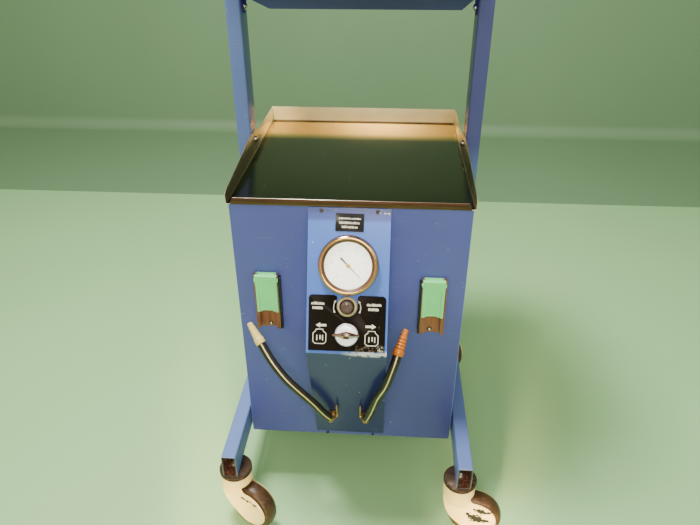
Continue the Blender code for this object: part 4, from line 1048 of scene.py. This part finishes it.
def make_gauge():
    place = on_face(GAUGE_S)
    bezel_r, dial_r, lip, floor, dial_z = 0.0485, 0.0415, 0.0378, 0.0022, 0.0033
    case = [(0, -0.042), (0.006, -0.042), (0.006, -0.030), (0.040, -0.030), (0.0422, -0.0275), (0.0422, GAP),
            (0.0478, GAP), (bezel_r, 0.0010), (bezel_r, 0.0032), (0.0479, 0.0042), (0.0482, 0.0058),
            (0.0478, 0.0080), (0.0466, 0.0098), (0.0450, 0.0108), (0.0434, 0.0110), (0.0418, 0.0105),
            (0.0404, 0.0094), (lip + 0.0008, 0.0082), (lip, 0.0074), (lip, 0.0068), (0.0400, 0.0060),
            (dial_r + GAP, 0.0050), (dial_r + GAP, floor), (0, floor)]
    # bands 1 and 2 give the painted shade: the dark rims and the dark groove by the dial
    bands = [1] * 9 + [0] * 6 + [2, 2, 2, 0, 1, 1, 1, 1]
    body = turned("gauge_case_spun", case, ["bezel", "bezel_painted_shade", "bezel_groove_painted_shade"], place, 128, bands)
    put(body, "trolley", "gauge_metal", "gauge_case")
    make_dial(place, dial_r, dial_z)
    pane = turned("gauge_glass_pane", [(0, 0.0070), (0.0372, 0.0070), (0.0374, 0.0072), (0.0374, 0.0078),
                                       (0.0370, 0.0080), (0, 0.0083)], "gauge_glass", place, 96)
    put(pane, "trolley", "gauge_glass", "gauge_glass")

    zero = place @ Matrix.Rotation(math.radians(-45), 4, "Z")
    edge = [(0.0262, 0.0003), (0.0040, 0.0008), (-0.0040, 0.0012), (-0.0165, 0.0017), (-0.0175, 0.0012)]
    blade = [(0.0270, 0.0)] + edge + [(x, -y) for x, y in reversed(edge)]
    pointer = bevel(prism("pointer", blade, 0.0046, 0.0052, "Z", "needle_black", zero), 0.0001, 1)
    hub = turned("pointer_hub", [(0, 0.0026), (0.0012, 0.0026), (0.0012, 0.0044), (0.0033, 0.0044),
                                 (0.0036, 0.0048), (0.0036, 0.0054), (0.0028, 0.0060), (0.0012, 0.0063),
                                 (0, 0.0063)], "hub_green", zero, 40)
    put(join("gauge_needle_with_hub", [pointer, hub]), "gauge_pointer", "needle_black", "gauge_needle")


def make_dial(place, radius, top):
    """White dial with 50 divisions over 270 degrees, a number at every tenth, two dots and a stop pin."""
    ink, divisions = 0.00006, 50

    def turn(part):
        return math.radians(-45 + 270 * part)
    pieces = [rod("dial_disc", radius, 0.0025, top, "dial_white", place, 96, bore=0.0016)]
    for i in range(divisions + 1):
        inner, half = (0.0300, 0.00030) if i % 5 == 0 else (0.0320, 0.00016)
        pieces.append(block("tick", (inner, -half, top), (0.0345, half, top + ink), "dial_mark",
                            place @ Matrix.Rotation(turn(i / divisions), 4, "Z")))
    for i in range(6):
        spot = (0.0255 * math.cos(turn(i / 5)), 0.0255 * math.sin(turn(i / 5)), top)
        pieces.append(number(str(i * 20), 0.0046, ink / 2, place @ Matrix.Translation(spot)))
    for x in (-0.0069, 0.0026):
        pieces.append(rod("dial_dot", 0.0008, 0, ink, "dial_mark",
                          place @ Matrix.Translation((x, -0.0181, top)), 16))
    pieces.append(turned("stop_pin", [(0, 0), (0.0007, 0), (0.0007, 0.0022), (0, 0.0024)], "needle_black",
                         place @ Matrix.Translation((-0.0360, -0.0004, top)), 16))
    put(join("gauge_dial_printed", pieces), "trolley", "dial_white", "gauge_dial")


def number(text, size, ink, place):
    """Small dial number, centred at the placement; ink is half its thickness."""
    curve = bpy.data.curves.new("number", "FONT")
    curve.body = text
    curve.size = size
    curve.align_x = "CENTER"
    curve.align_y = "CENTER"
    curve.extrude = ink
    curve.materials.append(MATERIALS["dial_mark"])
    made = add_object("number", curve)
    made.matrix_world = place @ Matrix.Translation((0, 0, ink))
    return made


def make_regulator():
    place = on_face(REGULATOR_S)
    inner = 0.0108
    ring = [(inner, GAP), (RING_R, GAP), (RING_R, 0.0030), (0.0160, 0.0044), (0.0152, 0.0054),
            (0.0141, 0.0060), (0.0129, 0.0060), (0.0123, 0.0056), (0.0119, 0.0048), (0.0118, 0.0030),
            (inner, 0.0026)]
    # the ring's inner bands are black: painted shade in the gap round the knob
    moulding = turned("regulator_ring_moulding", ring, ["cream_plastic", "needle_black"], place, 96,
                      [0] * 7 + [1] * 4)
    put(moulding, "trolley", "cream_plastic", "regulator_ring")
    # painted shade: a black ring on the face under the gap round the knob
    gap_shade = rod("regulator_gap_shade", 0.0112, 0.00005, 0.00025, "needle_black", place, 48, bore=0.0046)
    put(gap_shade, "trolley", "black_plastic")
    grip = make_grip(place)
    shaft = rod("shaft", 0.003, -0.0172, 0.0012, "zinc_steel", place)
    mark = block("knob_mark", (-0.0004, 0.0052, 0.01495), (0.0004, 0.0085, 0.01515), "print_white", place)
    put(join("regulator_knob_moulding", [grip, shaft, mark]), "regulator", "brown_plastic", "regulator_knob")


def make_grip(place):
    """Fluted knob. Each ring has a radius, a height and a depth of its flutes."""
    flutes, steps = 30, 4
    turns = [math.tau * i / (flutes * steps) for i in range(flutes * steps)]
    bm = bmesh.new()
    rows = []
    for radius, height, depth in ((0.0097, 0.0010, 0.0), (0.0099, 0.0018, 0.0004), (0.0101, 0.0128, 0.0004),
                                  (0.0097, 0.0142, 0.0003), (0.0086, 0.0149, 0.0), (0.0050, 0.0151, 0.0),
                                  (0.0046, 0.0147, 0.0)):
        reach = [radius - depth * (1 - math.cos(flutes * a)) / 2 for a in turns]
        rows.append([bm.verts.new((r * math.cos(a), r * math.sin(a), height)) for r, a in zip(reach, turns)])
    for first, second in zip(rows, rows[1:]):
        band(bm, first, second)
    bm.faces.new(rows[-1])
    bm.faces.new(rows[0])
    return add_piece("grip", bm, "brown_plastic", place, angle=50)


def make_selector():
    place = on_face(SELECTOR_S)
    seat, bore = GAP + PLATE_T + GAP, 0.0043
    disc = [(bore, 0), (0.0186, 0), (0.0190, 0.0004), (0.0190, 0.0012), (0.0184, 0.0018), (0.0172, 0.0020),
            (0.0166, 0.0015), (0.0158, 0.0015), (0.0152, 0.0021), (0.0140, 0.0026), (0.0110, 0.0031),
            (0.0060, 0.0034), (bore, 0.0034)]
    spun = turned("selector_disc_spun", [(r, seat + z) for r, z in disc], ["pearl_painted_glow", "disc_rim"], place, 96,
                  [1] * 5)
    put(spun, "trolley", "chrome", "selector_disc")

    low, high, blade = seat + 0.0040, seat + 0.0128, 0.0022
    upper = [(-0.0215, 0.0012), (-0.0100, 0.0038), (-0.0045, 0.0058), (0.0, 0.0064), (0.0045, 0.0058),
             (0.0110, 0.0040), (0.0195, 0.0018)]
    rim = [(-0.0235, 0.0)] + upper + [(0.0215, 0.0)] + [(x, -y) for x, y in reversed(upper)]
    bm = bmesh.new()
    base, lift = [[bm.verts.new((x, y, z)) for x, y in rim] for z in (low, low + blade)]
    crown = [bm.verts.new((x * 0.96, 0.0, high - abs(x) * 0.23)) for x, _ in rim]
    bm.faces.new(base)
    band(bm, base, lift)
    # painted light on the lever's facets: shade on the top and the middle, a warm reflection lower left and a
    # grey one lower right
    for face, (x, y), (next_x, next_y) in zip(band(bm, lift, crown), rim, rim[1:] + rim[:1]):
        across = x + next_x
        face.material_index = 1 if y + next_y > 0 or abs(across) < 0.012 else 2 if across < 0 else 3
    bmesh.ops.remove_doubles(bm, verts=bm.verts, dist=1e-6)
    lever = add_piece("lever", bm, ["lever_painted_warm_reflection", "lever_painted_shade", "lever_painted_warm_reflection", "disc_rim"], place,
                      angle=20)
    bevel(lever, 0.0003, 2, "lever_painted_warm_reflection", 25)
    shaft = rod("selector_shaft", 0.004, -0.0165, low + 0.001, "chrome", place)
    put(join("selector_lever_cast", [lever, shaft]), "selector", "chrome", "selector_lever")


# ---------------------------------------------------------------- brackets

def make_bracket(side, sign):
    """Channel plate with two inward lips, a black block of painted shade along its inner side and its screw.
    """
    low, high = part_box("bracket_plate_" + side)
    x, half, t, lip = (low.x + high.x) / 2, (high.x - low.x) / 2, 0.0015, 0.0065
    back, front = high.y, low.y
    inside, behind = back - t, front + t
    outline = [(x - half, back), (x + half, back), (x + half, front), (x + half - lip, front),
               (x + half - lip, behind), (x + half - t, behind), (x + half - t, inside),
               (x - half + t, inside), (x - half + t, behind), (x - half + lip, behind),
               (x - half + lip, front), (x - half, front)]
    plate = prism(f"bracket_plate_{side}_channel", outline, low.z, high.z, "Z", "bracket_steel")
    put(bevel(plate, 0.0004, 2, "bracket_edge_wear_and_highlight"), "trolley", "stainless", "bracket_plate_" + side)
    # painted shade: a thin black block along the plate's inner side stands for the dark band there
    edge = sorted((x - sign * (half + GAP), x - sign * (half + 0.0036)))
    strip = block(f"bracket_shade_block_{side}", (edge[0], behind, low.z), (edge[1], back, high.z - 0.004),
                  "black_gloss")
    put(bevel(strip, 0.0007, 2), "trolley", "black_plastic")
    screw_x = x + (0.0023 if side == "left" else -0.0028)
    at = facing((screw_x, inside, TRAY_Z - 0.2310), (0, -1, 0))
    disc = [(0, 0), (0.0042, 0), (0.0042, 0.0008), (0.0036, 0.0010), (0, 0.0010)]
    washer = turned(f"bracket_washer_{side}", disc, "screw_dark", at, 32)
    put(washer, "trolley", "stainless")
    screw(f"bracket_screw_{side}", at @ Matrix.Translation((0, 0, 0.0010)), 0.0028, "trolley", "stainless",
          "bolt_steel")
    make_clip(side, sign, x, front)


def make_clip(side, sign, x, front):
    """Green slide-on jar clip: a plate with raised side rails, a thick head and a tongue in the channel."""
    low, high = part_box("jar_clip_" + side)
    tall, half, toward = high.z - low.z - 0.0035, 0.0184, -sign * 0.0011
    place = Matrix.Translation((x + toward, front - GAP, low.z))
    thick, rail, rail_out, shoulder = 0.0030, 0.0052, 0.0055, 0.0010
    neck, tongue, tongue_low, tongue_high = 0.0129, 0.0159, 0.0035, 0.0070
    right = [(tongue, tongue_high), (tongue, tongue_low), (neck, tongue_low), (neck, 0.0), (half, 0.0),
             (half, -rail_out + shoulder), (half - shoulder, -rail_out), (half - rail + shoulder, -rail_out),
             (half - rail, -rail_out + shoulder), (half - rail - 0.0012, -thick)]
    section = right + [(-u, v) for u, v in reversed(right)]
    clip = prism(f"jar_clip_{side}_moulding", section, 0.0, tall, "Z", "green_plastic", place)

    def lump(low, high):
        return block("lump", low, high, "green_plastic", place)
    flange = lump((-half, -0.0085, tall - 0.0035), (half, -0.0010, tall))
    head = lump((-half, -0.0048, tall - 0.0165), (half, -0.0010, tall - 0.001))
    step_in = half - rail - 0.0012
    steps = [lump((u, -0.0072, tall - 0.0175), (v, -0.0010, tall - 0.002)) for u, v in
             ((-half, -step_in), (step_in, half))]
    peg = lump((-half - 0.0020, -0.0052, tall - 0.0120), (half + 0.0020, -0.0012, tall - 0.0068))
    ledge = lump((-0.0095, -0.0044, 0.0026), (0.0085, -0.0005, 0.0046))
    notch = lump((-0.0095, -0.02, -0.01), (0.0085, 0.02, 0.0030))
    apply_booleans(clip, unions=[flange, head, *steps, peg, ledge], cutters=[notch])
    put(bevel(clip, 0.0005, 2, "green_edge_highlight"), "clip_" + side, "green_plastic", "jar_clip_" + side)


# ---------------------------------------------------------------- hoses and outlets

def from_cabinet(point):
    return Vector((point[0], FRONT_Y + point[1], TRAY_Z + point[2]))


def smooth_route(points, count):
    """Points evenly spaced along a Catmull-Rom curve through the route's own points."""
    points = [Vector(point) for point in points]
    ends = [points[0] * 2 - points[1]] + points + [points[-1] * 2 - points[-2]]
    fine = []
    for a, b, c, d in zip(ends, ends[1:], ends[2:], ends[3:]):
        for i in range(12):
            t = i / 12
            fine.append(0.5 * (2 * b + (c - a) * t + (2 * a - 5 * b + 4 * c - d) * t * t
                               + (3 * b - a - 3 * c + d) * t ** 3))
    fine.append(points[-1])
    lengths = [0.0]
    for first, second in zip(fine, fine[1:]):
        lengths.append(lengths[-1] + (second - first).length)
    spaced = []
    for i in range(count):
        want = lengths[-1] * i / (count - 1)
        k = max(j for j in range(len(fine)) if lengths[j] <= want + 1e-9)
        if k == len(fine) - 1:
            spaced.append(fine[-1])
        else:
            part = (want - lengths[k]) / (lengths[k + 1] - lengths[k])
            spaced.append(fine[k].lerp(fine[k + 1], part))
    return spaced


def make_hose(side, route, stripe_turn):
    """Tube with a stripe moulded along the side that faces out and up."""
    coarse = smooth_route(route, 12)
    path = smooth_route(coarse, 72)
    sides, toward = 48, Vector((0.06, -0.80, 0.60))
    bm = bmesh.new()
    rings = []
    for i, point in enumerate(path):
        along = (path[min(i + 1, len(path) - 1)] - path[max(i - 1, 0)]).normalized()
        front = (toward - along * toward.dot(along)).normalized()
        side_way = along.cross(front)
        twist = stripe_turn[0] + (stripe_turn[1] - stripe_turn[0]) * i / (len(path) - 1)
        turns = [math.tau * k / sides + twist for k in range(sides)]
        rings.append([bm.verts.new(point + (front * math.cos(a) + side_way * math.sin(a)) * HOSE_R)
                      for a in turns])
    for first, second in zip(rings, rings[1:]):
        skin = band(bm, first, second)
        skin[0].material_index = skin[-1].material_index = 1
    bm.faces.new(rings[0])
    bm.faces.new(rings[-1])
    tube = add_piece(f"hose_{side}_rubber", bm, ["hose_rubber", "hose_stripe"])
    put(tube, "trolley", "hose_rubber", "hose_" + side)
    length = sum((b - a).length for a, b in zip(path, path[1:]))
    return tube, path, length, (coarse[-1] - coarse[-2]).normalized()


def make_connector(side, end, along):
    """Left: a tapered cream tip. Right: an orange tip with four steps."""
    if side == "left":
        length, material = 0.042, "cream_tip"
        outside = [(0.0083, 0.0), (0.0088, 0.0006), (0.0090, 0.0040), (0.0088, 0.0100), (0.0078, 0.0116),
                   (0.0074, 0.0140), (0.0064, 0.0260), (0.0060, 0.0300), (0.0062, 0.0312), (0.0056, 0.0330),
                   (0.0050, length - 0.004), (0.0047, length - 0.001), (0.0040, length)]
    else:
        length, material = 0.046, "orange_plastic"
        outside = [(0.0086, 0.0), (0.0094, 0.0012), (0.0096, 0.0050), (0.0094, 0.0098), (0.0080, 0.0112)]
        for r, z in ((0.0088, 0.0140), (0.0083, 0.0195), (0.0077, 0.0250), (0.0071, 0.0305)):
            outside += [(r - 0.0016, z - 0.0022), (r - 0.0003, z - 0.0006), (r, z), (r - 0.0006, z + 0.0014)]
        outside += [(0.0056, 0.0345), (0.0053, 0.0400), (0.0049, length - 0.001), (0.0042, length)]
    bore, floor = 0.0019, 0.010
    profile = [(0, 0.0)] + outside + [(bore, length), (bore, floor), (0, floor)]
    piece = turned(f"hose_connector_{side}_moulding", profile, material, facing(end + along * GAP * 2, along))
    return put(piece, "trolley", material, "hose_connector_" + side)


def make_outlet(side, sign, route, stripe_turn):
    """A hose with its connector, the brass fitting that it leaves from and the tap's lever."""
    route = [from_cabinet(point) for point in route]
    tube, path, length, along = make_hose(side, route, stripe_turn)
    connector = make_connector(side, path[-1], along)
    place = on_lower_face(sign * OUTLET_X, OUTLET_DROP)
    make_fitting(side, place, route[0], (route[1] - route[0]).normalized())
    make_tap(side, place @ Matrix.Translation((sign * (TAP_X - OUTLET_X), 0.006, 0.0085)))


def make_fitting(side, place, start, leave):
    """Flanged body with a hexagon, a bent tail and the ferrule that grips the hose."""
    body = turned("fitting_body", [(0, -0.0118), (0.0044, -0.0118), (0.0044, GAP), (0.0085, GAP),
                                   (0.0085, 0.0028), (0.0080, 0.0034), (0.0056, 0.0034), (0.0056, 0.0130),
                                   (0.0050, 0.0140), (0, 0.0142)], "brass", place, 48)
    flats = bevel(prism("fitting_hexagon", hexagon(0.0078), 0.0034, 0.0072, "Z", "brass", place), 0.0004, 2)
    centre = place @ Vector((0, 0, 0.0090))
    bend = start - leave * 0.008
    tail = rod("fitting_tail", 0.0044, 0, (bend - centre).length, "brass", facing(centre, bend - centre))
    ferrule = turned("fitting_ferrule", [(0, 0), (0.0070, 0), (0.0078, 0.0008), (0.0078, 0.0024),
                                         (0.0072, 0.0030), (0.0072, 0.0042), (0.0077, 0.0050),
                                         (0.0078, 0.0066), (0.0076, 0.0084), (0, 0.0087)], "brass",
                     facing(bend - leave * 0.001, leave), 48)
    put(join(f"outlet_fitting_{side}_brass", [body, flats, tail, ferrule]), "trolley", "brass",
        "outlet_fitting_" + side)


def make_tap(side, place):
    """Upright lever on a small hub, brass below and a paler painted highlight above."""
    hub = turned("tap_hub", [(0, -0.0020), (0.0036, -0.0020), (0.0042, -0.0014), (0.0042, 0.0014),
                             (0.0036, 0.0020), (0, 0.0020)], "brass",
                 place @ Matrix.Rotation(math.pi / 2, 4, "Y"), 40)
    spike = turned("tap_spike", [(0, 0), (0.0020, 0), (0.0021, 0.0040), (0.0022, 0.0062), (0.0023, 0.0085),
                                 (0.0023, 0.0150), (0.0022, 0.0200), (0.0021, 0.0240), (0.0018, 0.0300),
                                 (0.0013, 0.0370), (0.0008, 0.0396), (0, 0.0399)], ["brass", "brass_painted_highlight"],
                   place @ Matrix.Rotation(-math.pi / 2, 4, "X"), 32, [0] * 7 + [1] * 5)
    put(join(f"tap_lever_{side}_turned", [hub, spike]), "tap_" + side, "brass", "tap_lever_" + side)


# ---------------------------------------------------------------- trays

def wall_height(along):
    """Height of a tray's side wall at a distance from its front edge."""
    heights = [(0.0, 0.0170), (0.010, 0.0205), (0.0875, 0.0290), (0.1695, 0.0385), (0.2050, 0.0415),
               (0.2480, 0.0400), (0.2840, BACK_WALL)]
    for (a, up_a), (b, up_b) in zip(heights, heights[1:]):
        if along <= b:
            return up_a + (up_b - up_a) * (along - a) / (b - a)
    return BACK_WALL


def make_tray(name, node, front, back, base, place, materials):
    """Folded sheet: floor, side walls, back wall and a low front lip with mitred ends.

    materials are for the floor, the walls, the front lip and the sheet's cut edge.
    """
    half, bend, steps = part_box(node)[1].x, 0.0022, 44
    low = base - TRAY_T
    turns = [math.pi / 8 * i for i in range(5)]
    bends = [(bend * math.sin(a), low + bend - bend * math.cos(a)) for a in turns]
    inner = [front + bend + (back - front - 2 * bend) * i / steps for i in range(steps + 1)]
    bm = bmesh.new()
    faces = []

    def sheet(rows, material, outward):
        """Quads between rows of points, and the side that each of them has to face."""
        rows = [[bm.verts.new(point) for point in row] for row in rows]
        for first, second in zip(rows, rows[1:]):
            for i in range(len(first) - 1):
                face = bm.faces.new((first[i], first[i + 1], second[i + 1], second[i]))
                face.material_index = material
                faces.append((face, Vector(outward)))
    sheet([[(sign * (half - bend), y, low) for sign in (-1, 1)] for y in inner], 0, (0, 0, -1))
    for sign in (-1, 1):
        sheet([[(sign * (half - bend + out), y, z) for out, z in bends] for y in inner], 1, (sign, 0, -1))
        walls = []
        for y in [front] + inner + [back]:
            top = base + wall_height(max(0.0, y - front))
            walls.append([(sign * half, y, z) for z in (low + bend, (base + top) / 2, top)])
        sheet(walls, 1, (sign, 0, 0))
    for y, away, height, wide, narrow, material in ((back, 1, BACK_WALL, half - bend, half - 0.0002, 1),
                                                    (front, -1, FRONT_LIP, 0.1908, 0.1860, 2)):
        rows = [[(sign * wide, y + away * (out - bend), z) for sign in (-1, 1)] for out, z in bends]
        rows.append([(sign * narrow, y, base + height) for sign in (-1, 1)])
        sheet(rows, material, (0, away, -0.4))
    bmesh.ops.remove_doubles(bm, verts=bm.verts, dist=1e-6)
    bm.normal_update()
    for face, outward in faces:
        if face.is_valid and face.normal.dot(outward) < 0:
            face.normal_flip()
    pan = add_piece(name, bm, materials, place, angle=50, keep_normals=True)
    thick = pan.modifiers.new("sheet", "SOLIDIFY")
    thick.thickness = TRAY_T
    thick.offset = -1
    thick.use_even_offset = True
    thick.material_offset_rim = len(materials) - 1
    rounding = pan.modifiers.new("rolled_edge", "BEVEL")
    rounding.width = 0.0004
    rounding.segments = 2
    rounding.limit_method = "ANGLE"
    rounding.angle_limit = math.radians(60)
    return pan


def make_lower_tray():
    pan = make_tray("lower_tray_pan", "lower_tray", TRAY_LOW.y, TRAY_HIGH.y, TRAY_Z, Matrix(),
                    ["tray_floor_steel", "tray_wall_steel", "tray_lip_painted_reflection", "tray_edge_steel"])
    put(pan, "trolley", "tray_stainless", "lower_tray")


def make_upper_shelf():
    """The same pan as the tray, on two ears, tilted about its two side bolts."""
    tilted = Matrix.Translation(SHELF_PIVOT) @ Matrix.Rotation(-SHELF_TILT, 4, "X")
    back, base = 0.2284, 0.0149 + TRAY_T
    shelf = make_tray("upper_shelf_pan", "upper_shelf", back - (TRAY_HIGH.y - TRAY_LOW.y), back, base, tilted,
                      ["shelf_paint", "shelf_paint", "shelf_paint", "shelf_edge_wear_and_highlight"])
    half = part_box("upper_shelf")[1].x
    ear = [(-0.023, base + 0.001)] + arc((0, 0), 0.012, 200, 340, 16) + [(0.023, base + 0.001)]
    pieces = [shelf]
    for _, sign in SIDES:
        inner, outer = sorted((sign * (half - TRAY_T), sign * half))
        pieces.append(bevel(prism("shelf_ear", ear, inner, outer, "X", "shelf_paint", tilted), 0.0003, 2))
    put(join("upper_shelf_pressing", pieces), "shelf", "shelf_paint", "upper_shelf")


def make_bolt(node, sign):
    """Domed socket-head bolt on a plain washer, its shank in the upright."""
    low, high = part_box(node)
    tip, shank_end = sorted((abs(low.x), abs(high.x)))
    seat = 0.1962
    at = Matrix.Translation((0, (low.y + high.y) / 2, (low.z + high.z) / 2))
    at = at @ Matrix.Rotation(math.radians(-90 * sign), 4, "Y")
    profile = [(0, tip), (0.0026, tip), (0.0044, tip + 0.0009), (0.0056, tip + 0.0024),
               (0.0058, seat - 0.0010), (0.0065, seat - 0.0009), (0.0065, seat), (0.0044, seat),
               (0.0044, shank_end), (0, shank_end)]
    body = turned(node + "_turned", [(r, -z) for r, z in profile], "bolt_steel", at, 40)
    socket = prism("socket", hexagon(0.0021), -tip - 0.0022, -tip + 0.002, "Z", "screw_dark", at)
    put(apply_booleans(body, cutters=[socket]), "trolley", "bolt_steel", node)


# ---------------------------------------------------------------- inside the cabinet

def finish_internals():
    """Inner parts keep the model's own shapes and get their finish here."""
    looks = {"pump_motor": "cast_aluminium", "pump_head": "cast_aluminium",
             "pump_mount_plate": "zinc_steel", "intake_filter": "clear_bowl",
             "exhaust_silencer": "silencer_aluminium", "motor_fan": "black_plastic",
             "regulator_valve": "brass", "selector_valve": "brass"}
    for node, look in looks.items():
        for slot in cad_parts[node].material_slots:
            slot.material = MATERIALS[look]


# ---------------------------------------------------------------- build

for make_finishes in (frame_finishes, cabinet_finishes, console_finishes, tray_finishes, metal_finishes,
                      plate_finishes, gauge_finishes, plastic_finishes, rubber_finishes):
    make_finishes()
make_camera()
make_outlet("left", -1, HOSE_LEFT, (-0.15, 0.05))
make_outlet("right", 1, HOSE_RIGHT, (0.25, -0.05))
make_stage()
make_world()
make_lights()
make_frame()
for corner_name, trail in CASTERS.items():
    make_caster(corner_name, trail)
make_cabinet()
make_console()
for side_name, side_sign in SIDES:
    make_bracket(side_name, side_sign)
make_lower_tray()
make_upper_shelf()
for bolt_kind in ("tray_bolt_", "shelf_bolt_"):
    for side_name, side_sign in SIDES:
        make_bolt(bolt_kind + side_name, side_sign)
finish_internals()
